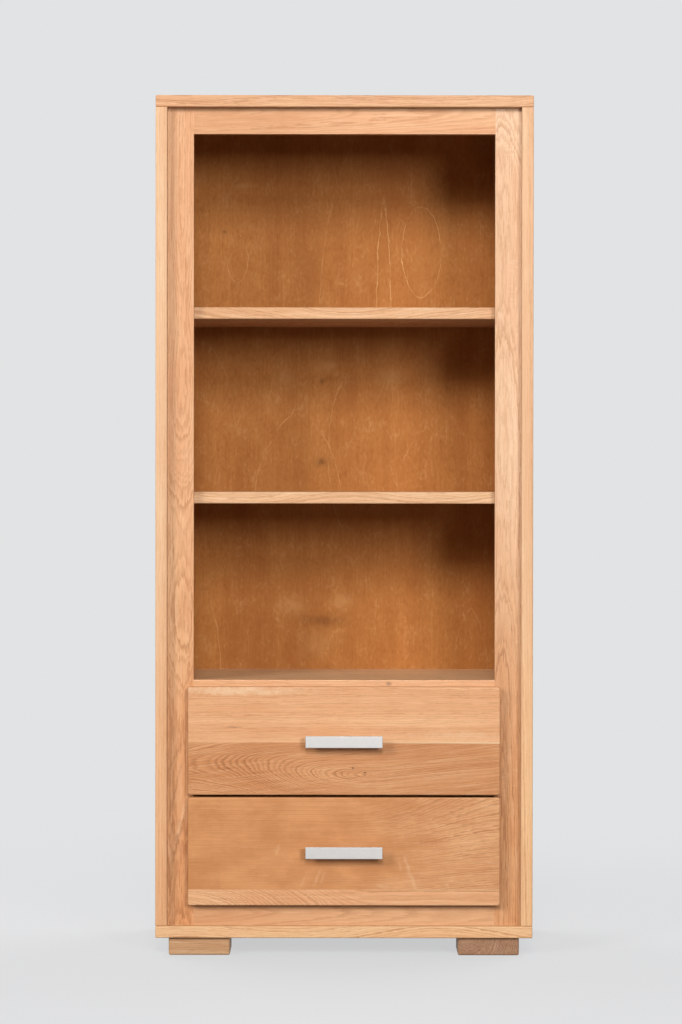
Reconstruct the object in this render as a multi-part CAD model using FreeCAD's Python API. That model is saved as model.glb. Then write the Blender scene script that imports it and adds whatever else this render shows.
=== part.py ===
import FreeCAD, Part
import math
import os

# An oak bookcase: three open bays above two drawers, whose fronts lap a set-back face frame.
# Millimetres, +Z up, front towards -Y. The origin is on the floor, under the middle of the outline.

# Case boards
case_width = 800.0
case_height = 1823.0
case_depth = 390.0
panel_thickness = 25.0
edge_round = 2.5

# Feet under the bottom panel
foot_width = 130.0
foot_depth = 100.0
foot_height = 38.0
foot_round = 4.0
foot_side_inset = 28.0
foot_end_inset = 10.0

# Face frame between the side panels
frame_recess = 20.0
frame_thickness = 20.0
stile_width = 55.0
top_rail_height = 55.0
bottom_rail_height = 55.0
tenon_length = 25.0
tenon_thickness = 8.0
tenon_shoulder = 8.0
tenon_clearance = 0.5

# Clear heights of the bays, from the bottom rail up; the top bay takes what is left
drawer_bay_height = 442.0
lower_bay_height = 374.0
middle_bay_height = 368.0
shelf_thickness = 25.0
shelf_clearance = 1.0

# Pins that carry the two loose shelves
pin_radius = 2.5
pin_depth = 10.0
pin_reach = 9.0
pin_chamfer = 0.6
pin_end_inset = 45.0
pin_clearance = 0.1

# Plywood back, let into rebates
back_thickness = 6.0
back_rebate_depth = 8.0
back_rebate_width = 12.0
back_clearance = 0.5

# Dowels
dowel_radius = 4.0
dowel_end_depth = 24.0
dowel_face_depth = 14.0
dowel_chamfer = 1.0
dowel_clearance = 0.1
case_dowel_shares = (0.12, 0.5, 0.85)
divider_dowel_shares = (0.2, 0.5, 0.8)
stile_dowel_shares = (0.15, 0.4, 0.62, 0.87)

# Drawer fronts and boxes
front_thickness = 20.0
front_overlap = 11.0
front_gap = 5.0
front_standoff = 1.0
front_corner_round = 5.0
front_round = 3.0
box_thickness = 14.0
box_rise = 24.0
box_drop = 45.5
box_back_gap = 8.0
box_round = 2.0
finger_count = 7
drawer_bottom_thickness = 5.0
drawer_bottom_rise = 12.0
drawer_bottom_groove = 7.0
drawer_bottom_clearance = 0.3

# Drawer handles: a flat bar on two posts
handle_length = 163.0
handle_height = 25.0
handle_projection = 28.0
handle_bar_thickness = 7.0
handle_round = 1.2
handle_post_spacing = 128.0
handle_post_width = 12.0
handle_post_height = 14.0

# Roller runners: sheet steel sections with a nylon roller at one end of each
runner_room = 12.5
runner_sheet = 1.2
runner_bend = 1.0
runner_front_setback = 3.0
runner_rear_setback = 2.0
runner_lip = 12.0
channel_rise = 2.0
channel_head_gap = 0.8
roller_radius = 9.0
roller_chamfer = 0.8
roller_recess = 0.8
roller_play = 0.3
roller_side_play = 0.2
roller_end_inset = 30.0
roller_overlap = 40.0
rivet_radius = 2.5
rivet_head_radius = 4.0
rivet_head_height = 0.6
rivet_clearance = 0.05
rivet_head_gap = 0.5
stop_radius = 2.5
stop_gap = 0.5
roller_rim_share = 0.82

# Packing blocks that bring the runners level with the stiles' inner edges
packing_below = 10.0
packing_above = 26.0
packing_back_gap = 6.0

# Screws: shank radius, head radius and head height, then how far each bites
wood_screw_radius = 2.25
wood_screw_head_radius = 4.5
wood_screw_head_height = 2.6
back_screw_radius = 1.5
back_screw_head_radius = 3.0
back_screw_head_height = 1.7
runner_screw_radius = 1.75
runner_screw_head_radius = 3.5
runner_screw_head_height = 1.2
box_screw_radius = 2.0
box_screw_head_radius = 4.0
box_screw_head_height = 2.4
screw_clearance = 0.1
hole_spare = 1.0
foot_screw_recess = 4.0
foot_screw_bite = 16.0
packing_screw_bite = 14.0
back_screw_bite = 12.0
cabinet_runner_screw_bite = 14.0
drawer_runner_screw_bite = 9.0
front_screw_bite = 13.0
handle_screw_bite = 8.0
pan_crown_share = 0.7
foot_screw_shares = ((0.25, 0.3), (0.75, 0.7))
packing_screw_shares = (0.2, 0.8)
back_screw_height_shares = (0.03, 0.27, 0.5, 0.73, 0.97)
back_screw_width_shares = (-0.6, 0.0, 0.6)
cabinet_runner_screw_shares = (0.3, 0.6, 0.92)
drawer_runner_screw_shares = (0.08, 0.45, 0.8)
front_screw_width_shares = (-0.7, 0.7)
front_screw_height_shares = (0.25, 0.75)

full_turn = 360.0
tiny = 0.001

# Places worked out from the sizes above
half_width = case_width / 2
inner_x = half_width - panel_thickness
opening_x = inner_x - stile_width
front_reach = front_standoff + front_thickness - frame_recess
overall_depth = case_depth + front_reach + handle_projection
front_y = front_reach + handle_projection - overall_depth / 2
back_y = front_y + case_depth
frame_front_y = front_y + frame_recess
frame_back_y = frame_front_y + frame_thickness
back_face_y = back_y - back_rebate_depth
floor_z = foot_height + panel_thickness
top_z = case_height - panel_thickness
bottom_rail_top_z = floor_z + bottom_rail_height
divider_z = bottom_rail_top_z + drawer_bay_height
divider_top_z = divider_z + shelf_thickness
lower_shelf_z = divider_top_z + lower_bay_height
upper_shelf_z = lower_shelf_z + shelf_thickness + middle_bay_height
shelf_front_y = frame_back_y + shelf_clearance
shelf_back_y = back_face_y - shelf_clearance

front_height = (drawer_bay_height + 2 * front_overlap - front_gap) / 2
drawer_pitch = front_height + front_gap
front_z = bottom_rail_top_z - front_overlap
front_back_y = frame_front_y - front_standoff
front_face_y = front_back_y - front_thickness
box_x = opening_x - runner_room
box_z = front_z + box_rise
box_height = front_height - box_rise - box_drop
box_back_y = back_face_y - box_back_gap
handle_z = front_z + front_height / 2

runner_y = front_back_y + runner_front_setback
runner_length = box_back_y - runner_rear_setback - runner_y
channel_z = box_z + channel_rise
roller_z = channel_z + roller_play + roller_radius
tread_z = roller_z + roller_radius + roller_play
channel_top_z = tread_z + runner_sheet + channel_head_gap + runner_sheet
front_roller_y = runner_y + roller_end_inset
rear_roller_y = runner_y + runner_length - roller_end_inset
drawer_travel = rear_roller_y - front_roller_y - roller_overlap
rivet_end_gap = rivet_head_gap + rivet_head_height + roller_side_play
roller_outer_x = opening_x - runner_sheet - runner_screw_head_height - rivet_end_gap
roller_inner_x = box_x + runner_sheet + rivet_end_gap
roller_width = roller_outer_x - roller_inner_x
packing_z = channel_z - runner_sheet - packing_below
packing_top_z = channel_top_z + packing_above

rightwards = FreeCAD.Vector(1, 0, 0)
backwards = FreeCAD.Vector(0, 1, 0)
upwards = FreeCAD.Vector(0, 0, 1)


def board(x_limits, y_limits, z_limits):
    """A square board between two limits each way."""
    low = FreeCAD.Vector(x_limits[0], y_limits[0], z_limits[0])
    high = FreeCAD.Vector(x_limits[1], y_limits[1], z_limits[1])
    size = high - low
    return Part.makeBox(size.x, size.y, size.z, low)


def mirrored(shape):
    """The left-hand twin of a right-hand piece."""
    return shape.mirror(FreeCAD.Vector(), rightwards)


def raised(shape, height):
    """A copy of a piece, higher up."""
    return shape.translated(upwards * height)


def edges_at(shape, points):
    """The edges of a piece whose middles lie at the given points."""
    places = [FreeCAD.Vector(*point) for point in points]
    return [edge for edge in shape.Edges
            if any(edge.CenterOfMass.isEqual(place, tiny) for place in places)]


def edges_in_front(shape, level):
    """The edges of a piece that lie wholly in the upright plane at one depth."""
    return [edge for edge in shape.Edges
            if all(abs(vertex.Point.y - level) < tiny for vertex in edge.Vertexes)]


def turned(profile, point, direction):
    """A solid turned from (radius, height) points about an axis that starts at a point."""
    corners = [FreeCAD.Vector(radius, 0, height) for radius, height in profile]
    face = Part.Face(Part.makePolygon(corners + corners[:1]))
    solid = face.revolve(FreeCAD.Vector(), upwards, full_turn)
    solid.Placement = FreeCAD.Placement(point, FreeCAD.Rotation(upwards, direction))
    return solid


def section_run(outline, bends):
    """A bent sheet section of (x, z) points along the runner, with (x, z, radius) bends."""
    corners = [FreeCAD.Vector(x, runner_y, z) for x, z in outline]
    face = Part.Face(Part.makePolygon(corners + corners[:1]))
    run = face.extrude(backwards * runner_length)
    middle_y = runner_y + runner_length / 2
    for x, z, radius in bends:
        run = run.makeFillet(radius, edges_at(run, [(x, middle_y, z)]))
    return run


class Screw:
    """One kind of screw, with a flat head let into the wood or a pan head on its face."""

    def __init__(self, radius, head_radius, head_height, flat):
        self.radius = radius
        self.head_radius = head_radius
        self.head_height = head_height
        self.flat = flat

    def solid(self, point, direction, length):
        """The screw from the middle of its head's outer face."""
        crown = [(0, 0), (self.head_radius, 0)]
        if not self.flat:
            crown = [(0, 0), (self.head_radius * pan_crown_share, 0),
                     (self.head_radius, self.head_height * (1 - pan_crown_share)),
                     (self.head_radius, self.head_height)]
        shank = [(self.radius, self.head_height), (self.radius, length - self.radius), (0, length)]
        return turned(crown + shank, point, direction)

    def hole(self, point, direction, length, recess=0.0):
        """The hole for the screw, with a way in for a head that lies below the face."""
        shank = self.radius + screw_clearance
        head = self.head_radius + screw_clearance
        end = length + hole_spare
        mouth = [(0, self.head_height), (shank, self.head_height)]
        if self.flat:
            mouth = [(0, -recess), (head, -recess), (head, 0), (shank, self.head_height)]
        return turned(mouth + [(shank, end), (0, end)], point, direction)


wood_screw = Screw(wood_screw_radius, wood_screw_head_radius, wood_screw_head_height, True)
back_screw = Screw(back_screw_radius, back_screw_head_radius, back_screw_head_height, True)
runner_screw = Screw(runner_screw_radius, runner_screw_head_radius, runner_screw_head_height, False)
box_screw = Screw(box_screw_radius, box_screw_head_radius, box_screw_head_height, False)


def dowel(point, direction):
    """A dowel across a joint: its long end in end grain, its short end along the direction."""
    length = dowel_end_depth + dowel_face_depth
    bevel = dowel_radius - dowel_chamfer
    profile = [(0, 0), (bevel, 0), (dowel_radius, dowel_chamfer),
               (dowel_radius, length - dowel_chamfer), (bevel, length), (0, length)]
    return turned(profile, point - direction * dowel_end_depth, direction)


def dowel_hole(point, direction):
    """The two drilled holes for one dowel, as one run."""
    start = point - direction * (dowel_end_depth + hole_spare)
    length = dowel_end_depth + dowel_face_depth + 2 * hole_spare
    return Part.makeCylinder(dowel_radius + dowel_clearance, length, start, direction)


def dowel_places():
    """Where each right-hand dowel crosses its joint, and which way it points."""
    places = []
    for share in case_dowel_shares:
        middle_x = half_width - panel_thickness / 2
        along_y = front_y + case_depth * share
        places.append((FreeCAD.Vector(middle_x, along_y, top_z), upwards))
        places.append((FreeCAD.Vector(middle_x, along_y, floor_z), -upwards))
    for share in divider_dowel_shares:
        along_y = frame_back_y + (back_face_y - frame_back_y) * share
        middle_z = divider_z + shelf_thickness / 2
        places.append((FreeCAD.Vector(inner_x, along_y, middle_z), rightwards))
    for share in stile_dowel_shares:
        middle_y = frame_front_y + frame_thickness / 2
        up_z = floor_z + (top_z - floor_z) * share
        places.append((FreeCAD.Vector(inner_x, middle_y, up_z), rightwards))
    return places


def foot_corner(front):
    """The right-hand foot's own corner nearest the middle and the front, on the floor."""
    start_y = front_y + foot_end_inset
    if not front:
        start_y = back_y - foot_end_inset - foot_depth
    return FreeCAD.Vector(half_width - foot_side_inset - foot_width, start_y, 0)


def foot_screw_places():
    """Where each right-hand foot screw's head lies."""
    places = []
    for front in (True, False):
        for across, along in foot_screw_shares:
            offset = FreeCAD.Vector(foot_width * across, foot_depth * along, foot_screw_recess)
            places.append(foot_corner(front) + offset)
    return places


def back_screw_places():
    """Where each screw lies round the edge of the back panel."""
    edge_x = inner_x + back_rebate_width / 2
    low_z = floor_z - back_rebate_width / 2
    high_z = top_z + back_rebate_width / 2
    head_y = back_face_y + back_thickness
    places = []
    for share in back_screw_height_shares:
        up_z = floor_z + (top_z - floor_z) * share
        places.append(FreeCAD.Vector(edge_x, head_y, up_z))
        places.append(FreeCAD.Vector(-edge_x, head_y, up_z))
    for share in back_screw_width_shares:
        places.append(FreeCAD.Vector(inner_x * share, head_y, low_z))
        places.append(FreeCAD.Vector(inner_x * share, head_y, high_z))
    return places


def packing_screw_places():
    """Where the screws enter the lower right packing block, above its runner."""
    length = back_face_y - packing_back_gap - frame_back_y
    middle_z = (channel_top_z + packing_top_z) / 2
    return [FreeCAD.Vector(opening_x, frame_back_y + length * share, middle_z)
            for share in packing_screw_shares]


def cabinet_runner_screw_places():
    """Where the screw heads lie in the lower right cabinet runner."""
    head_x = opening_x - runner_sheet - runner_screw_head_height
    return [FreeCAD.Vector(head_x, runner_y + runner_length * share, roller_z)
            for share in cabinet_runner_screw_shares]


def drawer_runner_screw_places():
    """Where the screw heads lie below the lower right drawer runner."""
    lip_x = box_x - runner_lip / 2
    head_z = box_z - runner_sheet - runner_screw_head_height
    return [FreeCAD.Vector(lip_x, runner_y + runner_length * share, head_z)
            for share in drawer_runner_screw_shares]


def front_screw_places():
    """Where the screw heads lie inside the lower drawer, holding its front to its box."""
    head_y = front_back_y + box_thickness + box_screw_head_height
    return [FreeCAD.Vector(box_x * across, head_y, box_z + box_height * up)
            for across in front_screw_width_shares for up in front_screw_height_shares]


def handle_screw_places():
    """Where the two handle screws' heads lie inside the lower drawer."""
    head_y = front_back_y + box_thickness + box_screw_head_height
    return [FreeCAD.Vector(side * handle_post_spacing / 2, head_y, handle_z) for side in (-1, 1)]


def two_levels(shape):
    """A piece of the lower drawer and its copy at the upper drawer."""
    return [shape, raised(shape, drawer_pitch)]


def both_sides(shape):
    """A right-hand piece and its left-hand twin."""
    return [shape, mirrored(shape)]


def patterned(shapes, *patterns):
    """Every piece of a list carried through each pattern in turn."""
    for pattern in patterns:
        shapes = [copy for shape in shapes for copy in pattern(shape)]
    return shapes


def case_fasteners():
    """The case's fasteners by node, and one compound of all their holes."""
    foot_length = foot_height - foot_screw_recess + foot_screw_bite
    back_length = back_thickness + back_screw_bite
    packing_length = stile_width + packing_screw_bite
    runner_length_in = runner_screw_head_height + runner_sheet + cabinet_runner_screw_bite
    feet = foot_screw_places()
    packing = packing_screw_places()
    runners = cabinet_runner_screw_places()
    nodes = {
        "dowels": patterned([dowel(*place) for place in dowel_places()], both_sides),
        "foot_screws": patterned(
            [wood_screw.solid(place, upwards, foot_length) for place in feet], both_sides),
        "back_panel_screws": [
            back_screw.solid(place, -backwards, back_length) for place in back_screw_places()],
        "packing_screws": patterned(
            [wood_screw.solid(place, rightwards, packing_length) for place in packing],
            both_sides, two_levels),
        "cabinet_runner_screws": patterned(
            [runner_screw.solid(place, rightwards, runner_length_in) for place in runners],
            both_sides, two_levels),
    }
    holes = patterned([dowel_hole(*place) for place in dowel_places()], both_sides)
    holes += patterned(
        [wood_screw.hole(place, upwards, foot_length, foot_screw_recess) for place in feet],
        both_sides)
    holes += [back_screw.hole(place, -backwards, back_length) for place in back_screw_places()]
    holes += patterned(
        [wood_screw.hole(place, rightwards, packing_length) for place in packing],
        both_sides, two_levels)
    holes += patterned(
        [runner_screw.hole(place, rightwards, runner_length_in) for place in runners],
        both_sides, two_levels)
    return nodes, Part.makeCompound(holes)


def back_rebate():
    """The space let into the back edges of the case for the back panel."""
    reach_x = inner_x + back_rebate_width
    return board((-reach_x, reach_x), (back_face_y, back_y),
                 (floor_z - back_rebate_width, top_z + back_rebate_width))


def eased_panel(low_z):
    """The top or bottom panel, with every edge eased and its length of the back rebate."""
    panel = board((-half_width, half_width), (front_y, back_y), (low_z, low_z + panel_thickness))
    return panel.makeFillet(edge_round, panel.Edges).cut(back_rebate())


def pin_places():
    """Where each right-hand shelf pin enters the side panel."""
    places = []
    for shelf_z in (lower_shelf_z, upper_shelf_z):
        for along_y in (shelf_front_y + pin_end_inset, shelf_back_y - pin_end_inset):
            places.append(FreeCAD.Vector(inner_x, along_y, shelf_z - pin_radius))
    return places


def shelf_pin(place):
    """One plain steel pin, chamfered at both ends."""
    length = pin_depth + pin_reach
    bevel = pin_radius - pin_chamfer
    profile = [(0, 0), (bevel, 0), (pin_radius, pin_chamfer),
               (pin_radius, length - pin_chamfer), (bevel, length), (0, length)]
    return turned(profile, place - rightwards * pin_reach, rightwards)


def side_panel():
    """The right side panel, eased round its front and its outer face and drilled for its shelf pins."""
    panel = board((inner_x, half_width), (front_y, back_y), (floor_z, top_z))
    eased = [edge for edge in panel.Edges if edge.CenterOfMass.x > inner_x + tiny]
    eased += edges_at(panel, [(inner_x, front_y, (floor_z + top_z) / 2)])
    panel = panel.makeFillet(edge_round, eased).cut(back_rebate())
    holes = [Part.makeCylinder(pin_radius + pin_clearance, pin_depth + hole_spare, place, rightwards)
             for place in pin_places()]
    return panel.cut(Part.makeCompound(holes))


def rail_tenon(low_z, high_z, clearance):
    """One right-hand tenon, or its mortise when a clearance is given at the blind end."""
    middle_y = frame_front_y + frame_thickness / 2
    half = tenon_thickness / 2
    return board((opening_x, opening_x + tenon_length + clearance),
                 (middle_y - half, middle_y + half),
                 (low_z + tenon_shoulder, high_z - tenon_shoulder))


def rail_limits():
    """The lower and upper edge of each rail."""
    return {"bottom_rail": (floor_z, bottom_rail_top_z), "top_rail": (top_z - top_rail_height, top_z)}


def rail(low_z, high_z):
    """A rail of the face frame with a tenon at each end."""
    body = board((-opening_x, opening_x), (frame_front_y, frame_back_y), (low_z, high_z))
    tenon = rail_tenon(low_z, high_z, 0)
    return body.fuse(both_sides(tenon))


def stile():
    """The right stile of the face frame with its two mortises."""
    body = board((opening_x, inner_x), (frame_front_y, frame_back_y), (floor_z, top_z))
    mortises = [rail_tenon(low, high, tenon_clearance) for low, high in rail_limits().values()]
    return body.cut(Part.makeCompound(mortises))


def divider():
    """The fixed shelf over the drawers, notched round the stiles and flush with the frame."""
    plank = board((-inner_x, inner_x), (frame_front_y, back_face_y), (divider_z, divider_top_z))
    notch = board((opening_x, inner_x), (frame_front_y, frame_back_y), (divider_z, divider_top_z))
    plank = plank.cut(Part.makeCompound(both_sides(notch)))
    lips = [(0, frame_front_y, divider_z), (0, frame_front_y, divider_top_z)]
    return plank.makeFillet(edge_round, edges_at(plank, lips))


def loose_shelf(low_z):
    """A loose shelf behind the face frame, with its two front edges eased."""
    reach_x = inner_x - shelf_clearance
    high_z = low_z + shelf_thickness
    plank = board((-reach_x, reach_x), (shelf_front_y, shelf_back_y), (low_z, high_z))
    lips = [(0, shelf_front_y, low_z), (0, shelf_front_y, high_z)]
    return plank.makeFillet(edge_round, edges_at(plank, lips))


def back_panel():
    """The plywood back, a little smaller than its rebate."""
    reach = back_rebate_width - back_clearance
    return board((-inner_x - reach, inner_x + reach), (back_face_y, back_face_y + back_thickness),
                 (floor_z - reach, top_z + reach))


def foot(front):
    """A right-hand foot block, eased round its sides and sole."""
    corner = foot_corner(front)
    block = Part.makeBox(foot_width, foot_depth, foot_height, corner)
    shown = [edge for edge in block.Edges if edge.CenterOfMass.z < foot_height - tiny]
    return block.makeFillet(foot_round, shown)


def packing_block():
    """The lower right packing block, between the side panel and the runner."""
    return board((opening_x, inner_x), (frame_back_y, back_face_y - packing_back_gap),
                 (packing_z, packing_top_z))


def rivet(root_x, shoulder_x, head_x, along_y, direction):
    """A roller's rivet: a shoulder on the sheet, a journal and a head beyond the roller."""
    shoulder = abs(shoulder_x - root_x)
    head = abs(head_x - root_x)
    profile = [(0, 0), (rivet_head_radius, 0), (rivet_head_radius, shoulder), (rivet_radius, shoulder),
               (rivet_radius, head), (rivet_head_radius, head),
               (rivet_head_radius, head + rivet_head_height), (0, head + rivet_head_height)]
    return turned(profile, FreeCAD.Vector(root_x, along_y, roller_z), direction)


def cabinet_runner():
    """The lower right cabinet runner: a channel with a stop ridge and the front roller's rivet."""
    web_x = opening_x - runner_sheet
    low_z = channel_z - runner_sheet
    roof_z = channel_top_z - runner_sheet
    outline = [(opening_x, low_z), (opening_x, channel_top_z), (roller_inner_x, channel_top_z),
               (roller_inner_x, roof_z), (web_x, roof_z), (web_x, channel_z),
               (roller_inner_x, channel_z), (roller_inner_x, low_z)]
    outer_bend = runner_bend + runner_sheet
    bends = [(web_x, roof_z, runner_bend), (web_x, channel_z, runner_bend),
             (opening_x, low_z, outer_bend), (opening_x, channel_top_z, outer_bend)]
    channel = section_run(outline, bends)
    centres = roller_radius + stop_radius
    stop_y = (rear_roller_y - drawer_travel - stop_gap
              - math.sqrt(centres ** 2 - (roller_radius + roller_play) ** 2))
    ridge = Part.makeCylinder(stop_radius, web_x - roller_inner_x,
                              FreeCAD.Vector(roller_inner_x, stop_y, channel_z), rightwards)
    below = board((roller_inner_x, web_x), (stop_y - stop_radius, stop_y + stop_radius),
                  (channel_z - stop_radius, channel_z))
    pivot = rivet(web_x, roller_outer_x + roller_side_play, roller_inner_x - roller_side_play,
                  front_roller_y, -rightwards)
    return channel.fuse([ridge.cut(below), pivot])


def drawer_runner():
    """The lower right drawer runner: a lip under the box side, a web, a tread and its rivet."""
    web_x = box_x + runner_sheet
    lip_x = box_x - runner_lip
    low_z = box_z - runner_sheet
    high_z = tread_z + runner_sheet
    outline = [(web_x, low_z), (lip_x, low_z), (lip_x, box_z), (box_x, box_z), (box_x, high_z),
               (roller_outer_x, high_z), (roller_outer_x, tread_z), (web_x, tread_z)]
    outer_bend = runner_bend + runner_sheet
    bends = [(web_x, low_z, outer_bend), (web_x, tread_z, runner_bend), (box_x, high_z, outer_bend)]
    section = section_run(outline, bends)
    pivot = rivet(web_x, roller_inner_x - roller_side_play, roller_outer_x + roller_side_play,
                  rear_roller_y, rightwards)
    return section.fuse(pivot)


def roller(along_y):
    """A lower right nylon roller: a rim and a hub with a shallow recess between, on each face."""
    rim = roller_radius * roller_rim_share
    hub = (rivet_head_radius + rim) / 2
    bore = rivet_radius + rivet_clearance
    bevel = roller_radius - roller_chamfer
    half = [(bore, 0), (hub, 0), (hub, roller_recess), (rim, roller_recess), (rim, 0), (bevel, 0),
            (roller_radius, roller_chamfer)]
    far = [(radius, roller_width - height) for radius, height in reversed(half)]
    return turned(half + far, FreeCAD.Vector(roller_inner_x, along_y, roller_z), rightwards)


def finger_spaces(odd):
    """The spaces of every second finger at all four corners of the lower drawer box."""
    height = box_height / finger_count
    spaces = []
    for index in range(int(odd), finger_count, 2):
        for start_y in (front_back_y, box_back_y - box_thickness):
            space = board((box_x - box_thickness, box_x), (start_y, start_y + box_thickness),
                          (box_z + height * index, box_z + height * (index + 1)))
            spaces += both_sides(space)
    return Part.makeCompound(spaces)


def drawer_bottom(clearance):
    """The lower drawer's plywood bottom, or its grooves when no clearance is taken off."""
    reach_x = box_x - box_thickness + drawer_bottom_groove - clearance
    rim = box_thickness - drawer_bottom_groove + clearance
    low_z = box_z + drawer_bottom_rise
    return board((-reach_x, reach_x), (front_back_y + rim, box_back_y - rim),
                 (low_z, low_z + drawer_bottom_thickness))


def drawer_side():
    """The lower drawer box's right side, with finger ends and a groove for the bottom."""
    high_z = box_z + box_height
    plank = board((box_x - box_thickness, box_x), (front_back_y, box_back_y), (box_z, high_z))
    middle_y = (front_back_y + box_back_y) / 2
    lips = [(box_x - box_thickness, middle_y, high_z), (box_x, middle_y, high_z)]
    plank = plank.makeFillet(box_round, edges_at(plank, lips))
    return plank.cut([finger_spaces(True), drawer_bottom(0)])


def drawer_end(start_y):
    """The front or back board of the lower drawer box, fingered into its sides."""
    plank = board((-box_x, box_x), (start_y, start_y + box_thickness), (box_z, box_z + box_height))
    return plank.cut([finger_spaces(False), drawer_bottom(0)])


def drawer_front():
    """The lower drawer's front, with blunt corners and eased round its face."""
    reach_x = opening_x + front_overlap
    plank = board((-reach_x, reach_x), (front_face_y, front_back_y), (front_z, front_z + front_height))
    middle_y = (front_face_y + front_back_y) / 2
    corners = [(x, middle_y, z) for x in (-reach_x, reach_x) for z in (front_z, front_z + front_height)]
    plank = plank.makeFillet(front_corner_round, edges_at(plank, corners))
    return plank.makeFillet(front_round, edges_in_front(plank, front_face_y))


def handle():
    """The lower drawer's handle: an eased flat bar on two posts that stand on the front."""
    outer_y = front_face_y - handle_projection
    inner_y = outer_y + handle_bar_thickness
    bar = board((-handle_length / 2, handle_length / 2), (outer_y, inner_y),
                (handle_z - handle_height / 2, handle_z + handle_height / 2))
    bar = bar.makeFillet(handle_round, bar.Edges)
    posts = []
    for side in (-1, 1):
        middle_x = side * handle_post_spacing / 2
        post = board((middle_x - handle_post_width / 2, middle_x + handle_post_width / 2),
                     (inner_y, front_face_y),
                     (handle_z - handle_post_height / 2, handle_z + handle_post_height / 2))
        upright = [edge for edge in post.Edges if tiny < front_face_y - edge.CenterOfMass.y]
        along = [edge for edge in upright if tiny < edge.CenterOfMass.y - inner_y]
        posts.append(post.makeFillet(handle_round, along))
    return bar.fuse(posts)


def case_nodes():
    """Every node of the standing case, drilled for its fasteners."""
    fasteners, holes = case_fasteners()
    nodes = {
        "top_panel": eased_panel(top_z),
        "bottom_panel": eased_panel(foot_height),
        "back_panel": back_panel(),
        "divider_shelf": divider(),
    }
    for name, limits in rail_limits().items():
        nodes[name] = rail(*limits)
    right = [("", "_side_panel", side_panel()), ("", "_stile", stile()),
             ("front_", "_foot", foot(True)), ("rear_", "_foot", foot(False))]
    for level, lift in (("lower_", 0), ("upper_", drawer_pitch)):
        right.append((level, "_packing_block", raised(packing_block(), lift)))
        right.append((level, "_cabinet_runner", raised(cabinet_runner(), lift)))
    for lead, rest, shape in right:
        nodes[lead + "right" + rest] = shape
        nodes[lead + "left" + rest] = mirrored(shape)
    drilled = {name: [shape.cut(holes)] for name, shape in nodes.items()}
    pins = patterned([shelf_pin(place) for place in pin_places()], both_sides)
    shelves = {"lower_shelf": [loose_shelf(lower_shelf_z)], "upper_shelf": [loose_shelf(upper_shelf_z)]}
    return {**drilled, **fasteners, **shelves, "shelf_pins": pins}


def drawer_nodes():
    """Every node of the lower drawer, drilled for its screws."""
    front_length = box_screw_head_height + box_thickness + front_screw_bite
    handle_length_in = box_screw_head_height + box_thickness + front_thickness + handle_screw_bite
    runner_length_in = runner_screw_head_height + runner_sheet + drawer_runner_screw_bite
    kinds = {
        "front_screws": (box_screw, front_screw_places(), -backwards, front_length),
        "handle_screws": (box_screw, handle_screw_places(), -backwards, handle_length_in),
        "runner_screws": (runner_screw, drawer_runner_screw_places(), upwards, runner_length_in),
    }
    nodes = {}
    holes = []
    for name, (kind, places, direction, length) in kinds.items():
        sides = both_sides if name == "runner_screws" else lambda shape: [shape]
        nodes[name] = patterned([kind.solid(place, direction, length) for place in places], sides)
        holes += patterned([kind.hole(place, direction, length) for place in places], sides)
    drill = Part.makeCompound(holes)
    boards = {
        "front": drawer_front(),
        "box_front": drawer_end(front_back_y),
        "box_back": drawer_end(box_back_y - box_thickness),
        "right_side": drawer_side(),
        "left_side": mirrored(drawer_side()),
        "bottom": drawer_bottom(drawer_bottom_clearance),
        "right_runner": drawer_runner(),
        "left_runner": mirrored(drawer_runner()),
        "handle": handle(),
    }
    for name, shape in boards.items():
        nodes[name] = [shape.cut(drill)]
    return nodes


def all_nodes():
    """Every node of the bookcase by name."""
    nodes = case_nodes()
    for level, lift in (("lower", 0), ("upper", drawer_pitch)):
        for name, shapes in drawer_nodes().items():
            nodes[level + "_drawer_" + name] = [raised(shape, lift) for shape in shapes]
        for name, along_y in (("front", front_roller_y), ("rear", rear_roller_y)):
            pair = both_sides(raised(roller(along_y), lift))
            nodes[level + "_" + name + "_rollers"] = pair
    return nodes


def export_nodes():
    """Write one STEP file per node."""
    os.makedirs("parts", exist_ok=True)
    for name, shapes in all_nodes().items():
        solids = [solid for shape in shapes for solid in shape.Solids]
        shape = solids[0] if len(solids) == 1 else Part.makeCompound(solids)
        shape.exportStep("parts/" + name + ".step")


export_nodes()
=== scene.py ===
"""Oak bookcase with two bottom drawers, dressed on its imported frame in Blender."""

from __future__ import annotations

import logging
import math
from dataclasses import dataclass
from enum import Enum
from types import SimpleNamespace
from typing import Optional, Union

import bmesh
import bpy
from mathutils import Color, Matrix, Vector


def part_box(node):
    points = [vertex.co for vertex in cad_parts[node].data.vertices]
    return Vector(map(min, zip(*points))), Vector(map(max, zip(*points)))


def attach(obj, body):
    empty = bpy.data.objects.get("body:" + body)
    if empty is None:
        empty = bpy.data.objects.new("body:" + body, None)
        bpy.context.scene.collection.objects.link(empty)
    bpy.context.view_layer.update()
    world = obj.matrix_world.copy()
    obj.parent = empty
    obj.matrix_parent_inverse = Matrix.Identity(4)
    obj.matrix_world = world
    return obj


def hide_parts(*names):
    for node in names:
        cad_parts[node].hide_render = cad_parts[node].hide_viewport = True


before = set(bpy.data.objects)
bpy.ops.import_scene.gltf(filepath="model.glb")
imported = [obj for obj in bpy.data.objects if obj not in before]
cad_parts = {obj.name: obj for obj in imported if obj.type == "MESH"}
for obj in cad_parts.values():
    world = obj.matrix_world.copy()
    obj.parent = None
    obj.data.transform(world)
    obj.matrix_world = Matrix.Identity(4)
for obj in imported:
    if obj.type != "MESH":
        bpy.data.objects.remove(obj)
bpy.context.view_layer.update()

LOG = logging.getLogger("bookcase")
CHANNEL_MAX = 255.0

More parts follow.
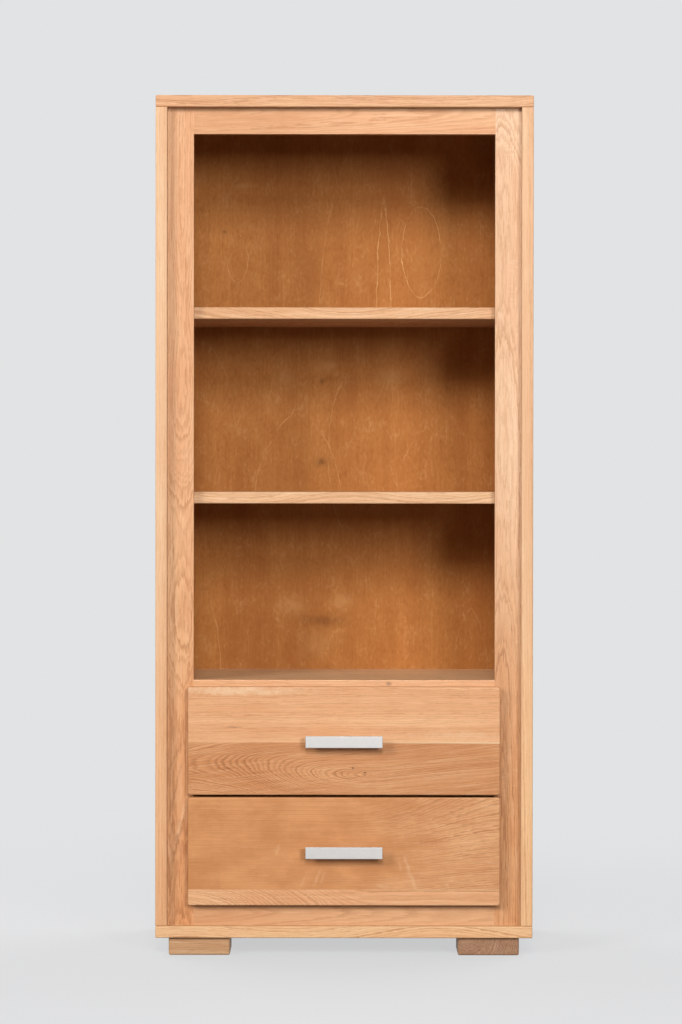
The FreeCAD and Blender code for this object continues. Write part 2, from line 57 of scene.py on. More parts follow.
Colour = tuple[float, float, float, float]
Span = tuple[float, float]
Edges = list[bmesh.types.BMEdge]
Value = Union["Signal", bpy.types.NodeSocket, float, Colour, Vector]
BLACK: Colour = (0.0, 0.0, 0.0, 1.0)


def srgb(red: int, green: int, blue: int) -> Colour:
    """Turns a colour as it is seen on a screen into linear light.

    Args:
        red: Red from 0 to 255.
        green: Green from 0 to 255.
        blue: Blue from 0 to 255.

    Returns:
        The linear colour with full alpha.
    """
    seen = Color((red / CHANNEL_MAX, green / CHANNEL_MAX, blue / CHANNEL_MAX))
    return (*seen.from_srgb_to_scene_linear(), 1.0)


class Axis(Enum):
    """A direction of the shared frame."""

    X = 0
    Y = 1
    Z = 2


class Facing(Enum):
    """Which way the heads of a set of screws look."""

    REAR = (0.0, 1.0, 0.0)
    DOWN = (0.0, 0.0, -1.0)
    INWARD = (1.0, 0.0, 0.0)


class Head(Enum):
    """The shape of a screw's head."""

    FLAT = "flat"
    PAN = "pan"


# Shader graphs


@dataclass(frozen=True)
class Texture:
    """A noise: its repeats in a metre along each axis, its finer layers and the span of its mask."""

    scale: tuple[float, float, float]
    detail: float = 0.0
    roughness: float = 0.5
    span: Span = (0.0, 1.0)


class Signal:
    """A value inside a node tree, on which plain arithmetic adds Math nodes."""

    def __init__(self, graph: Graph, socket: bpy.types.NodeSocket) -> None:
        """Keeps the graph and the output that carries the value."""
        self.graph = graph
        self.socket = socket

    def apply(self, operation: str, other: Value = 0.0) -> Signal:
        """Adds a Math node with this value first.

        Args:
            operation: The node's operation.
            other: Its second value.

        Returns:
            The result.
        """
        return self.graph.math(operation, self, other)

    def __add__(self, other: Value) -> Signal:
        """The sum."""
        return self.apply("ADD", other)

    def __radd__(self, other: float) -> Signal:
        """The sum with a plain number in front."""
        return self.apply("ADD", other)

    def __sub__(self, other: Value) -> Signal:
        """The difference."""
        return self.apply("SUBTRACT", other)

    def __rsub__(self, other: float) -> Signal:
        """A plain number less this value."""
        return self.graph.math("SUBTRACT", other, self)

    def __mul__(self, other: Value) -> Signal:
        """The product."""
        return self.apply("MULTIPLY", other)

    def __truediv__(self, other: Value) -> Signal:
        """The quotient."""
        return self.apply("DIVIDE", other)

    def __neg__(self) -> Signal:
        """The value with its sign turned."""
        return self * -1.0

    def swing(self, reach: Value) -> Signal:
        """A value from 0 to 1 as a swing from minus half to plus half of a reach."""
        return (self - 0.5) * reach

    def step(self, low: Value, high: Value) -> Signal:
        """A smooth step.

        Args:
            low: Where the result is 0.
            high: Where the result is 1.

        Returns:
            The step, from 0 to 1.
        """
        made = self.graph.node("ShaderNodeMapRange", interpolation_type="SMOOTHSTEP")
        for socket, value in zip(made.inputs, (self, low, high, 0.0, 1.0)):
            self.graph.feed(socket, value)
        return Signal(self.graph, made.outputs[0])


class Graph:
    """A node tree that is being wired, one call to a node."""

    def __init__(self, tree: bpy.types.NodeTree) -> None:
        """Keeps the tree that the nodes go into."""
        self.tree = tree

    def node(self, kind: str, **settings: object) -> bpy.types.Node:
        """Adds a node.

        Args:
            kind: The node's Blender type.
            **settings: Properties to set on it.

        Returns:
            The new node.
        """
        made = self.tree.nodes.new(kind)
        for name, value in settings.items():
            setattr(made, name, value)
        return made

    def find(self, kind: str) -> bpy.types.Node:
        """The first node of a type that the tree has already."""
        return next(node for node in self.tree.nodes if node.type == kind)

    def feed(self, socket: bpy.types.NodeSocket, value: Value) -> None:
        """Links a socket to another, or sets it to a plain value.

        Args:
            socket: The input to feed.
            value: A signal, an output socket, a number, a vector or a colour.
        """
        source = value.socket if isinstance(value, Signal) else value
        if isinstance(source, bpy.types.NodeSocket):
            self.tree.links.new(source, socket)
        else:
            socket.default_value = source

    def math(self, operation: str, first: Value, second: Value) -> Signal:
        """Adds a Math node.

        Args:
            operation: The node's operation.
            first: Its first value.
            second: Its second value.

        Returns:
            The result.
        """
        made = self.node("ShaderNodeMath", operation=operation)
        self.feed(made.inputs[0], first)
        self.feed(made.inputs[1], second)
        return Signal(self, made.outputs[0])

    def vector(self, x: Value, y: Value, z: Value) -> Signal:
        """Joins three values into a vector.

        Args:
            x: Its X.
            y: Its Y.
            z: Its Z.

        Returns:
            The vector.
        """
        made = self.node("ShaderNodeCombineXYZ")
        for socket, value in zip(made.inputs, (x, y, z)):
            self.feed(socket, value)
        return Signal(self, made.outputs[0])

    def split(self, kind: str, whole: Value) -> tuple[Signal, ...]:
        """Splits a vector or a colour.

        Args:
            kind: The type of the node that splits it.
            whole: The vector or colour.

        Returns:
            Its three parts.
        """
        made = self.node(kind)
        self.feed(made.inputs[0], whole)
        return tuple(Signal(self, socket) for socket in made.outputs)

    def stretched(self, place: Signal, texture: Texture) -> bpy.types.NodeOutputs:
        """Adds a noise that is stretched along the axes.

        Args:
            place: Where it is read.
            texture: The noise.

        Returns:
            The node's outputs.
        """
        stretch = self.node("ShaderNodeVectorMath", operation="MULTIPLY")
        self.feed(stretch.inputs[0], place)
        self.feed(stretch.inputs[1], texture.scale)
        made = self.node("ShaderNodeTexNoise", noise_dimensions="3D")
        self.feed(made.inputs["Vector"], stretch.outputs[0])
        self.feed(made.inputs["Scale"], 1.0)
        self.feed(made.inputs["Detail"], texture.detail)
        self.feed(made.inputs["Roughness"], texture.roughness)
        return made.outputs

    def noise(self, place: Signal, texture: Texture) -> Signal:
        """The value of a noise at a place."""
        return Signal(self, self.stretched(place, texture)[0])

    def mask(self, place: Signal, texture: Texture) -> Signal:
        """A noise at a place, stepped over the texture's own span."""
        return self.noise(place, texture).step(*texture.span)

    def noises(self, place: Signal, texture: Texture) -> tuple[Signal, ...]:
        """Three noises of one kind at a place."""
        return self.split("ShaderNodeSeparateColor", self.stretched(place, texture)[1])

    def line_noise(self, place: Signal, rate: float, detail: float = 0.0) -> Signal:
        """Adds a noise along one line.

        Args:
            place: Where it is read.
            rate: How many times it repeats in a unit.
            detail: How many finer layers it has.

        Returns:
            Its value.
        """
        made = self.node("ShaderNodeTexNoise", noise_dimensions="1D")
        self.feed(made.inputs["W"], place)
        self.feed(made.inputs["Scale"], rate)
        self.feed(made.inputs["Detail"], detail)
        return Signal(self, made.outputs[0])

    def dice(self, number: Signal, seed: Signal) -> tuple[Signal, ...]:
        """Throws three dice for each whole number.

        Args:
            number: The number.
            seed: What sets the throw.

        Returns:
            Three values from 0 to 1.
        """
        made = self.node("ShaderNodeTexWhiteNoise", noise_dimensions="2D")
        self.feed(made.inputs["Vector"], self.vector(number, seed, 0.0))
        return self.split("ShaderNodeSeparateColor", made.outputs["Color"])

    def chance(self, number: Signal) -> Signal:
        """Throws one die for each whole number.

        Args:
            number: The number.

        Returns:
            A value from 0 to 1.
        """
        made = self.node("ShaderNodeTexWhiteNoise", noise_dimensions="1D")
        self.feed(made.inputs["W"], number)
        return Signal(self, made.outputs["Value"])

    def mix(self, share: Value, first: Value, second: Value) -> Signal:
        """Mixes two colours.

        Args:
            share: How much of the second colour shows.
            first: The first colour.
            second: The second colour.

        Returns:
            The mixed colour.
        """
        made = self.node("ShaderNodeMix", data_type="RGBA", clamp_factor=True)
        colours = [socket for socket in made.inputs if socket.type == "RGBA"]
        self.feed(made.inputs[0], share)
        self.feed(colours[0], first)
        self.feed(colours[1], second)
        return Signal(self, next(socket for socket in made.outputs if socket.type == "RGBA"))

    def blend(self, share: Value, first: Value, second: Value) -> Signal:
        """Mixes two plain values.

        Args:
            share: How much of the second value shows.
            first: The first value.
            second: The second value.

        Returns:
            The mixed value.
        """
        made = self.node("ShaderNodeMix", data_type="FLOAT", clamp_factor=True)
        self.feed(made.inputs[0], share)
        self.feed(made.inputs[2], first)
        self.feed(made.inputs[3], second)
        return Signal(self, made.outputs[0])


class EffectGroup:
    """A shader node group with named inputs and outputs, built once and shared by finishes."""

    title = ""
    inputs: dict[str, Union[float, Colour]] = {}
    outputs: tuple[str, ...] = ()
    colour_output = "colour"

    def wire(self, graph: Graph, given: SimpleNamespace) -> dict[str, Signal]:
        """Wires the inside of the group.

        Args:
            graph: The group's graph.
            given: The group's inputs by name.

        Returns:
            What feeds the outputs, by name.
        """
        raise NotImplementedError

    def tree(self) -> bpy.types.NodeTree:
        """Makes the group's tree on first use.

        Returns:
            The tree.
        """
        found = bpy.data.node_groups.get(self.title)
        if found:
            return found
        tree = bpy.data.node_groups.new(self.title, "ShaderNodeTree")
        for name, value in self.inputs.items():
            kind = "NodeSocketColor" if isinstance(value, tuple) else "NodeSocketFloat"
            tree.interface.new_socket(name, in_out="INPUT", socket_type=kind).default_value = value
        for name in self.outputs:
            kind = "NodeSocketColor" if name == self.colour_output else "NodeSocketFloat"
            tree.interface.new_socket(name, in_out="OUTPUT", socket_type=kind)
        graph = Graph(tree)
        entry = graph.node("NodeGroupInput")
        leave = graph.node("NodeGroupOutput")
        given = {name: Signal(graph, entry.outputs[name]) for name in self.inputs}
        for name, signal in self.wire(graph, SimpleNamespace(**given)).items():
            graph.feed(leave.inputs[name], signal)
        return tree

    def place(self, graph: Graph, **values: Value) -> SimpleNamespace:
        """Places the group in a material.

        Args:
            graph: The material's graph.
            **values: What feeds the inputs, by name.

        Returns:
            The group's outputs by name.
        """
        made = graph.node("ShaderNodeGroup", node_tree=self.tree())
        for name, value in values.items():
            graph.feed(made.inputs[name], value)
        return SimpleNamespace(**{name: Signal(graph, made.outputs[name]) for name in self.outputs})


class BoardFigure(EffectGroup):
    """The figure of a sawn board: growth rings, pores, rays and streaks, stave by stave."""

    title = "board figure"
    inputs = {"along": 0.0, "across": 0.0, "depth": 0.0, "stave_width": 10.0, "stave_shift": 0.0,
              "seed": 0.0, "pith_across": 0.0, "pith_depth": 0.06, "lean": 0.0, "spread": 0.0,
              "ring_width": 0.004, "wander": 0.006, "feather": 0.9, "dive": 0.0, "climb": 0.0,
              "dive_from": 0.0, "dive_to": 1.0, "wave": 0.0, "blotch": 0.25, "tilt": 0.0}
    outputs = ("early", "fibre", "broad", "pores", "dashes", "rays", "tone", "stave", "glue")

    # How far along the log one stave, board or wave lies from the next
    stave_jump = 7.0
    seed_jump = 3.1
    wave_jump = 5.3
    # How the rings wander and how wide each year's soft early wood is
    wave_rate = 2.5
    sway = Texture((1.5, 9.0, 9.0), 2.0)
    ripple = Texture((9.0, 60.0, 60.0), 1.0)
    ripple_share = 0.16
    year_rate = 95.0
    year_swing = 2.4
    torn_share = 1.1
    fibre_share = 0.6
    early_rise = (0.0, 0.14)
    early_fall = (0.2, 0.8)
    weakest_year = 0.35
    # The fine marks along the grain
    fibre = Texture((13.0, 430.0, 430.0), 3.0, 0.65)
    torn = Texture((26.0, 240.0, 240.0), 2.0, 0.6)
    streaky = Texture((2.6, 95.0, 95.0), 2.0)
    pore = Texture((110.0, 1500.0, 1500.0), 1.0, span=(0.53, 0.7))
    late_pores = 0.2
    dash = Texture((38.0, 560.0, 560.0), 2.0, 0.55, span=(0.55, 0.7))
    crowd = Texture((3.0, 30.0, 30.0), 1.0, span=(0.4, 0.65))
    late_dashes = 0.4
    ray = Texture((230.0, 38.0, 38.0), 1.0, span=(0.58, 0.72))
    ray_patch = Texture((5.0, 13.0, 13.0), 1.0, span=(0.5, 0.66))
    # The slow changes of tone
    cloud = Texture((1.3, 15.0, 15.0), 2.0)
    band_rate = 26.0
    blotches = Texture((9.0, 14.0, 14.0), 4.0, 0.62)
    glue_span = (0.0002, 0.0009)

    def wire(self, graph: Graph, given: SimpleNamespace) -> dict[str, Signal]:
        """Wires the rings about the pith and the fine marks along the grain.

        Args:
            graph: The group's graph.
            given: The group's inputs by name.

        Returns:
            The masks of each mark, by name.
        """
        along, depth, seed, wander = given.along, given.depth, given.seed, given.wander
        place = (given.across + given.stave_shift) / given.stave_width
        number = place.apply("FLOOR")
        share = place - number
        middle = share.swing(given.stave_width) - given.tilt * along
        first, second, third = graph.dice(number, seed)
        grain = graph.vector(along + first * self.stave_jump + seed * self.seed_jump, middle, depth)

        sway = graph.noises(grain, self.sway)
        ripple = graph.noises(grain, self.ripple)
        fine = wander * self.ripple_share
        lean = given.lean + third.swing(given.spread)
        dived = along.step(given.dive_from, given.dive_to)
        wave = graph.line_noise(along + seed * self.wave_jump, self.wave_rate)
        side = (middle - given.pith_across - given.climb * dived + first.swing(given.spread)
                + sway[0].swing(wander) + ripple[0].swing(fine))
        deep = (depth + given.pith_depth + second * given.spread + lean * along + given.dive * dived
                + wave.swing(given.wave) + sway[1].swing(wander) + ripple[1].swing(fine))
        radius = (side * side + deep * deep).apply("SQRT")

        fibre = graph.noise(grain, self.fibre)
        torn = graph.noise(grain, self.torn)
        years = (radius / given.ring_width
                 + graph.line_noise(radius + seed, self.year_rate, 1.0).swing(self.year_swing)
                 + torn.swing(given.feather * self.torn_share)
                 + fibre.swing(given.feather * self.fibre_share))
        season = years.apply("FRACT")
        strength = graph.chance(years.apply("FLOOR") + seed) * (1.0 - self.weakest_year) + self.weakest_year
        early = season.step(*self.early_rise) * (1.0 - season.step(*self.early_fall)) * strength

        pores = graph.mask(grain, self.pore) * (early * (1.0 - self.late_pores) + self.late_pores)
        dashes = (graph.mask(grain, self.dash) * graph.mask(grain, self.crowd)
                  * (early * (1.0 - self.late_dashes) + self.late_dashes))
        rays = graph.mask(grain, self.ray) * graph.mask(grain, self.ray_patch)
        bands = graph.line_noise(radius + seed, self.band_rate, 1.0)
        slow = graph.blend(0.5, graph.noise(grain, self.cloud), bands)
        tone = graph.blend(given.blotch, slow, graph.noise(grain, self.blotches))
        broad = graph.blend(given.blotch, graph.noise(grain, self.streaky), 0.5)
        edge = share.apply("MINIMUM", 1.0 - share) * given.stave_width
        return {"early": early, "fibre": fibre, "broad": broad, "pores": pores, "dashes": dashes,
                "rays": rays, "tone": tone, "stave": third, "glue": 1.0 - edge.step(*self.glue_span)}


class WoodColour(EffectGroup):
    """Turns the figure's masks into the colour, gloss and height of finished wood."""

    title = "wood colour"
    inputs = {"early": 0.0, "fibre": 0.5, "broad": 0.5, "pores": 0.0, "dashes": 0.0, "rays": 0.0,
              "tone": 0.5, "stave": 0.5, "glue": 0.0, "knot": 0.0, "wear": 0.0, "contrast": 1.0,
              "stave_contrast": 0.0, "roughness": 0.45,
              "pale": srgb(246, 200, 155), "honey": srgb(232, 172, 124), "dark": srgb(196, 136, 88)}
    outputs = ("colour", "roughness", "height")

    ray_cream = srgb(255, 238, 208)
    pore_brown = srgb(104, 56, 24)
    knot_brown = srgb(104, 62, 34)
    tone_span = (0.36, 0.64)
    broad_span = (0.3, 0.7)
    broad_swing = 0.4
    cream_share = 0.3
    light_span = (0.5, 0.26)
    light_strength = 0.6
    streak_span = (0.5, 0.78)
    streak_strength = 0.55
    early_strength = 0.72
    brown_share = 0.5
    dash_strength = 0.28
    pore_strength = 0.45
    glue_strength = 0.4
    wear_strength = 0.5
    early_roughness = 0.08
    pore_roughness = 0.2
    wear_polish = 0.08
    early_depth = 0.25
    fibre_relief = 0.3

    def wire(self, graph: Graph, given: SimpleNamespace) -> dict[str, Signal]:
        """Wires the colour from pale to dark, then the marks on it.

        Args:
            graph: The group's graph.
            given: The group's inputs by name.

        Returns:
            The colour, roughness and height.
        """
        contrast = given.contrast
        drift = (given.tone.step(*self.tone_span)
                 + given.broad.step(*self.broad_span).swing(self.broad_swing)
                 + given.stave.swing(given.stave_contrast))
        base = graph.mix(drift, given.pale, given.honey)
        light = graph.mix(self.cream_share, given.pale, self.ray_cream)
        lit = graph.mix(given.fibre.step(*self.light_span) * self.light_strength * contrast, base, light)
        streak = given.fibre.step(*self.streak_span) * self.streak_strength
        grained = graph.mix((given.early * self.early_strength + streak) * contrast, lit, given.dark)
        bright = graph.mix(given.rays, grained, light)
        brown = graph.mix(self.brown_share, given.dark, self.pore_brown)
        dashed = graph.mix(given.dashes * self.dash_strength * contrast, bright, brown)
        pored = graph.mix(given.pores * self.pore_strength * contrast, dashed, brown)
        glued = graph.mix(given.glue * self.glue_strength, pored, given.dark)
        # Paler along the arrises: partly rubbed wear, partly a painted highlight where the edges catch the
        # light.
        worn_and_highlit = graph.mix(given.wear * self.wear_strength, glued, given.pale)
        roughness = (given.roughness + given.early * self.early_roughness
                     + given.pores * self.pore_roughness - given.wear * self.wear_polish)
        height = given.fibre.swing(self.fibre_relief) - given.early * self.early_depth - given.pores
        return {"colour": graph.mix(given.knot, worn_and_highlit, self.knot_brown), "roughness": roughness,
                "height": height}


class PinKnot(EffectGroup):
    """A small round knot on a board's face, and how far it pushes the grain aside."""

    title = "pin knot"
    inputs = {"along": 0.0, "across": 0.0, "at_along": 0.0, "at_across": 0.0, "size": 0.004}
    outputs = ("mask", "push")

    ragged = Texture((420.0, 420.0, 1.0), 2.0)
    ragged_reach = 1.6
    stretch = 0.5
    rim = (0.1, 1.5)
    pull_along = 0.035
    pull_across = 0.09
    push_share = -1.1

    def wire(self, graph: Graph, given: SimpleNamespace) -> dict[str, Signal]:
        """Wires the knot's spot and the bend of the grain round it.

        Args:
            graph: The group's graph.
            given: The group's inputs by name.

        Returns:
            The spot's mask and the push across the grain in metres.
        """
        off_along = (given.along - given.at_along) / given.size
        off_across = (given.across - given.at_across) / given.size
        ragged = graph.noise(graph.vector(given.along, given.across, given.size), self.ragged)
        far = off_along * off_along * self.stretch + off_across * off_across
        spot = 1.0 - (far + ragged.swing(self.ragged_reach)).step(*self.rim)
        reach = off_along * off_along * self.pull_along + off_across * off_across * self.pull_across
        push = off_across.apply("SIGN") * (-reach).apply("EXPONENT") * given.size * self.push_share
        return {"mask": spot, "push": push}


class EdgeWearAndHighlight(EffectGroup):
    """Rubbed arrises with a painted highlight on them: a mask along the edges of a board of a given half
    size.
    """

    title = "edge wear and highlight"
    inputs = {"x": 0.0, "y": 0.0, "z": 0.0, "half_x": 1.0, "half_y": 1.0, "half_z": 1.0, "reach": 0.003}
    outputs = ("mask",)

    broken = Texture((38.0, 38.0, 38.0), 3.0, 0.6, span=(0.3, 0.7))
    least_reach = 0.0002

    def wire(self, graph: Graph, given: SimpleNamespace) -> dict[str, Signal]:
        """Wires the distance to the nearest edge, broken up by noise.

        Args:
            graph: The group's graph.
            given: The group's inputs by name.

        Returns:
            The mask.
        """
        side, front, rise = (half - place.apply("ABSOLUTE") for place, half in (
            (given.x, given.half_x), (given.y, given.half_y), (given.z, given.half_z)))
        outer = side.apply("MAXIMUM", front).apply("MINIMUM", rise)
        nearest_edge = side.apply("MINIMUM", front).apply("MAXIMUM", outer)
        broken = graph.mask(graph.vector(given.x, given.y, given.z), self.broken)
        return {"mask": 1.0 - nearest_edge.step(0.0, given.reach * broken + self.least_reach)}


class PeeledVeneer(EffectGroup):
    """The bands, streaks and curly mottle of a rotary-cut veneer."""

    title = "peeled veneer"
    inputs = {"across": 0.0, "along": 0.0, "seed": 0.0}
    outputs = ("lines", "bands", "streaks", "mottle", "pores")

    jitter = Texture((60.0, 18.0, 1.0), 3.0)
    jitter_across = 0.012
    jitter_along = 0.04
    swell = Texture((6.5, 0.9, 1.0), 1.0)
    swell_lines = 17.0
    line_width = 0.06
    fade = Texture((13.0, 6.0, 1.0), 3.0, span=(0.48, 0.7))
    wide_band = Texture((8.0, 0.8, 1.0), 2.0)
    narrow_band = Texture((38.0, 3.0, 1.0), 2.0)
    narrow_share = 0.26
    streaks = Texture((210.0, 9.0, 1.0), 3.0, 0.6)
    patch = Texture((24.0, 18.0, 1.0), 5.0, 0.66)
    curl = Texture((150.0, 90.0, 1.0), 2.0, 0.6)
    curl_share = 0.42
    pore = Texture((900.0, 70.0, 1.0), 1.0, span=(0.58, 0.72))

    def wire(self, graph: Graph, given: SimpleNamespace) -> dict[str, Signal]:
        """Wires contour lines of a slow swell, with streaks along the grain and a mottle.

        Args:
            graph: The group's graph.
            given: The group's inputs by name.

        Returns:
            The masks by name.
        """
        place = graph.vector(given.across, given.along, given.seed)
        jitter = graph.noises(place, self.jitter)
        bent = graph.vector(given.across + jitter[0].swing(self.jitter_across),
                            given.along + jitter[1].swing(self.jitter_along), given.seed)
        rung = (graph.noise(bent, self.swell) * self.swell_lines).apply("FRACT")
        line = 1.0 - rung.swing(1.0).apply("ABSOLUTE").step(0.0, self.line_width)
        bands = graph.blend(self.narrow_share, graph.noise(bent, self.wide_band),
                            graph.noise(bent, self.narrow_band))
        mottle = graph.blend(self.curl_share, graph.noise(bent, self.patch), graph.noise(bent, self.curl))
        return {"lines": line * graph.mask(place, self.fade), "bands": bands, "mottle": mottle,
                "streaks": graph.noise(bent, self.streaks), "pores": graph.mask(bent, self.pore)}


class VeneerLoop(EffectGroup):
    """One thin pale loop in a peeled veneer, pointed like a lens or round, or only part of one."""

    title = "veneer loop"
    inputs = {"across": 0.0, "along": 0.0, "at_across": 0.0, "at_along": 0.0, "half_width": 0.03,
              "half_height": 0.1, "bow": 1.25, "left": 1.0, "right": 1.0, "lower": 1.0}
    outputs = ("mask", "inside")

    line_width = 0.0024
    shake = Texture((60.0, 34.0, 9.0), 4.0, 0.6)
    shake_across = 0.012
    shake_along = 0.016
    fade = Texture((24.0, 24.0, 5.0), 3.0, span=(0.3, 0.62))
    side_span = (-0.002, 0.002)
    half_span = (-0.004, 0.004)
    inside_span = (0.5, 1.0)

    def wire(self, graph: Graph, given: SimpleNamespace) -> dict[str, Signal]:
        """Wires the loop's line and its inside, with an unsteady hand.

        Args:
            graph: The group's graph.
            given: The group's inputs by name.

        Returns:
            The masks of the line and of what lies inside it.
        """
        place = graph.vector(given.across, given.along, given.at_across)
        shake = graph.noises(place, self.shake)
        off = given.across - given.at_across + shake[0].swing(self.shake_across)
        run = given.along - given.at_along + shake[1].swing(self.shake_along)
        wide = off.apply("ABSOLUTE") / given.half_width
        tall = run / given.half_height
        level = wide.apply("POWER", given.bow) + tall * tall
        gap = (level - 1.0).apply("ABSOLUTE") * given.half_width
        line = 1.0 - gap.step(0.0, self.line_width)
        side = graph.blend(off.step(*self.side_span), given.left, given.right)
        half = graph.blend(run.step(*self.half_span), given.lower, 1.0)
        inside = (1.0 - level.step(*self.inside_span)) * given.left * given.right
        return {"mask": line * graph.mask(place, self.fade) * side * half, "inside": inside}


class SoftPatch(EffectGroup):
    """A soft patch where the fibres turn, such as round a bud, or a fleck of silver grain."""

    title = "soft patch"
    inputs = {"u": 0.0, "v": 0.0, "at_u": 0.0, "at_v": 0.0, "half_u": 0.02, "half_v": 0.02, "lean": 0.0,
              "skew": 0.0, "ragged": 1.5}
    outputs = ("mask",)

    shake = Texture((75.0, 75.0, 9.0), 3.0, 0.6)
    thin_span = (0.0, 0.5)

    def wire(self, graph: Graph, given: SimpleNamespace) -> dict[str, Signal]:
        """Wires a cloud that fades out from its middle.

        Args:
            graph: The group's graph.
            given: The group's inputs by name.

        Returns:
            The mask.
        """
        shake = graph.noises(graph.vector(given.u, given.v, given.at_u), self.shake)
        off = given.u - given.at_u
        run = given.v - given.at_v
        wide = (off - given.lean * run) / given.half_u + shake[0].swing(given.ragged)
        tall = (run - given.skew * off) / given.half_v + shake[1].swing(given.ragged)
        cloud = (-(wide * wide + tall * tall)).apply("EXPONENT")
        return {"mask": cloud * shake[2].step(*self.thin_span)}


class FineSpeckle(EffectGroup):
    """Small even unevenness of paint, plating and moulded plastic, and streaks along one axis."""

    title = "fine speckle"
    inputs = {"x": 0.0, "y": 0.0, "z": 0.0}
    outputs = ("grain", "cloud", "brush")

    grain = Texture((1400.0, 1400.0, 1400.0), 2.0)
    cloud = Texture((60.0, 60.0, 60.0), 3.0, span=(0.3, 0.7))
    brush = Texture((25.0, 2600.0, 2600.0), 2.0)

    def wire(self, graph: Graph, given: SimpleNamespace) -> dict[str, Signal]:
        """Wires a fine grain, a slow cloud and a brushed streak along X.

        Args:
            graph: The group's graph.
            given: The group's inputs by name.

        Returns:
            The values by name.
        """
        spot = graph.vector(given.x, given.y, given.z)
        return {"grain": graph.noise(spot, self.grain), "cloud": graph.mask(spot, self.cloud),
                "brush": graph.noise(spot, self.brush)}


BOARD_FIGURE = BoardFigure()
WOOD_COLOUR = WoodColour()
PIN_KNOT = PinKnot()
EDGE_WEAR_AND_HIGHLIGHT = EdgeWearAndHighlight()
PEELED_VENEER = PeeledVeneer()
VENEER_LOOP = VeneerLoop()
SOFT_PATCH = SoftPatch()
FINE_SPECKLE = FineSpeckle()


# Finishes


@dataclass(frozen=True)
class Surface:
    """The material of one piece while it is wired: its graph, its shader and the piece's box."""

    graph: Graph
    shader: bpy.types.Node
    low: Vector
    high: Vector
    bounce_loss: float = 0.5

    @property
    def middle(self) -> Vector:
        """The middle of the piece."""
        return (self.low + self.high) / 2

    @property
    def half(self) -> Vector:
        """Half the size of the piece."""
        return (self.high - self.low) / 2

    def places(self) -> tuple[Signal, ...]:
        """Reads the Object coordinates.

        Returns:
            X, Y and Z, counted from the middle of the piece.
        """
        source = self.graph.node("ShaderNodeTexCoord")
        centred = self.graph.node("ShaderNodeMapping")
        self.graph.feed(centred.inputs["Vector"], source.outputs["Object"])
        self.graph.feed(centred.inputs["Location"], -self.middle)
        return self.graph.split("ShaderNodeSeparateXYZ", centred.outputs[0])

    def feed(self, name: str, value: Value) -> None:
        """Feeds one of the shader's inputs, or sets it where the value is plain."""
        self.graph.feed(self.shader.inputs[name], value)

    def feed_wood(self, colour: Signal) -> None:
        """Feeds the colour of wood, with less of it thrown back from one board on to another.

        Args:
            colour: The colour as it is seen.
        """
        path = self.graph.node("ShaderNodeLightPath")
        lost = Signal(self.graph, path.outputs["Is Diffuse Ray"]) * self.bounce_loss
        self.feed("Base Color", self.graph.mix(lost, colour, BLACK))

    def feed_bump(self, height: Signal, strength: float, depth: float) -> None:
        """Feeds the shader's normal from a height.

        Args:
            height: The height from 0 to 1.
            strength: How strong the bump is.
            depth: How deep it is, in metres.
        """
        made = self.graph.node("ShaderNodeBump")
        self.graph.feed(made.inputs["Strength"], strength)
        self.graph.feed(made.inputs["Distance"], depth)
        self.graph.feed(made.inputs["Height"], height)
        self.feed("Normal", made.outputs[0])


def by_grain(places: tuple[Signal, ...], grain: Axis, face: Axis) -> tuple[Signal, Signal, Signal]:
    """The places along the grain, across it and into the face."""
    third = next(axis for axis in Axis if axis not in (grain, face))
    return places[grain.value], places[third.value], places[face.value]


class Finish:
    """A finish that dresses one piece with a material of its own."""

    def wire(self, surface: Surface) -> None:
        """Wires the finish into a material.

        Args:
            surface: The material of the piece.
        """
        raise NotImplementedError

    def dress(self, piece: bpy.types.Object, node: str) -> None:
        """Gives a piece its material.

        Args:
            piece: The object to dress.
            node: The frame's node whose box the pattern is centred on.
        """
        material = bpy.data.materials.new(piece.name + "_finish")
        material.use_nodes = True
        graph = Graph(material.node_tree)
        low, high = (Vector(corner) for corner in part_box(node))
        self.wire(Surface(graph, graph.find("BSDF_PRINCIPLED"), low, high))
        if not piece.material_slots:
            piece.data.materials.append(material)
        for slot in piece.material_slots:
            slot.material = material


@dataclass(frozen=True)
class Tint:
    """Three tones of one piece of wood."""

    pale: Colour
    honey: Colour
    dark: Colour


FRAME_OAK = Tint(srgb(247, 192, 144), srgb(235, 170, 122), srgb(200, 134, 87))
EDGE_OAK = Tint(srgb(252, 208, 165), srgb(243, 189, 144), srgb(208, 149, 103))
TOP_OAK = Tint(srgb(244, 191, 144), srgb(232, 171, 124), srgb(194, 132, 88))
PANEL_OAK = Tint(srgb(246, 197, 151), srgb(235, 177, 129), srgb(200, 140, 94))
SILL_OAK = Tint(srgb(254, 204, 152), srgb(246, 187, 135), srgb(206, 144, 96))
RAIL_OAK = Tint(srgb(232, 172, 123), srgb(220, 154, 105), srgb(188, 126, 82))
FOOT_RAIL_OAK = Tint(srgb(236, 180, 132), srgb(224, 162, 114), srgb(191, 129, 84))
# The divider's top behind its edge: partly a paler board, partly a painted sheen.
PALE_TOP_AND_SHEEN_OAK = Tint(srgb(255, 214, 168), srgb(250, 202, 153), srgb(222, 168, 120))
ROSY_OAK = Tint(srgb(251, 209, 170), srgb(241, 190, 148), srgb(208, 151, 109))
# Painted shade: the darker tone that the left stile takes towards its foot, where less light falls.
LOW_SHADE_OAK = Tint(srgb(246, 184, 131), srgb(227, 156, 103), srgb(184, 116, 68))
DIVIDER_OAK = Tint(srgb(246, 188, 132), srgb(234, 168, 112), srgb(200, 135, 84))
LIGHT_OAK = Tint(srgb(248, 191, 142), srgb(236, 171, 121), srgb(202, 138, 90))
GOLD_OAK = Tint(srgb(240, 180, 128), srgb(223, 158, 107), srgb(178, 114, 68))
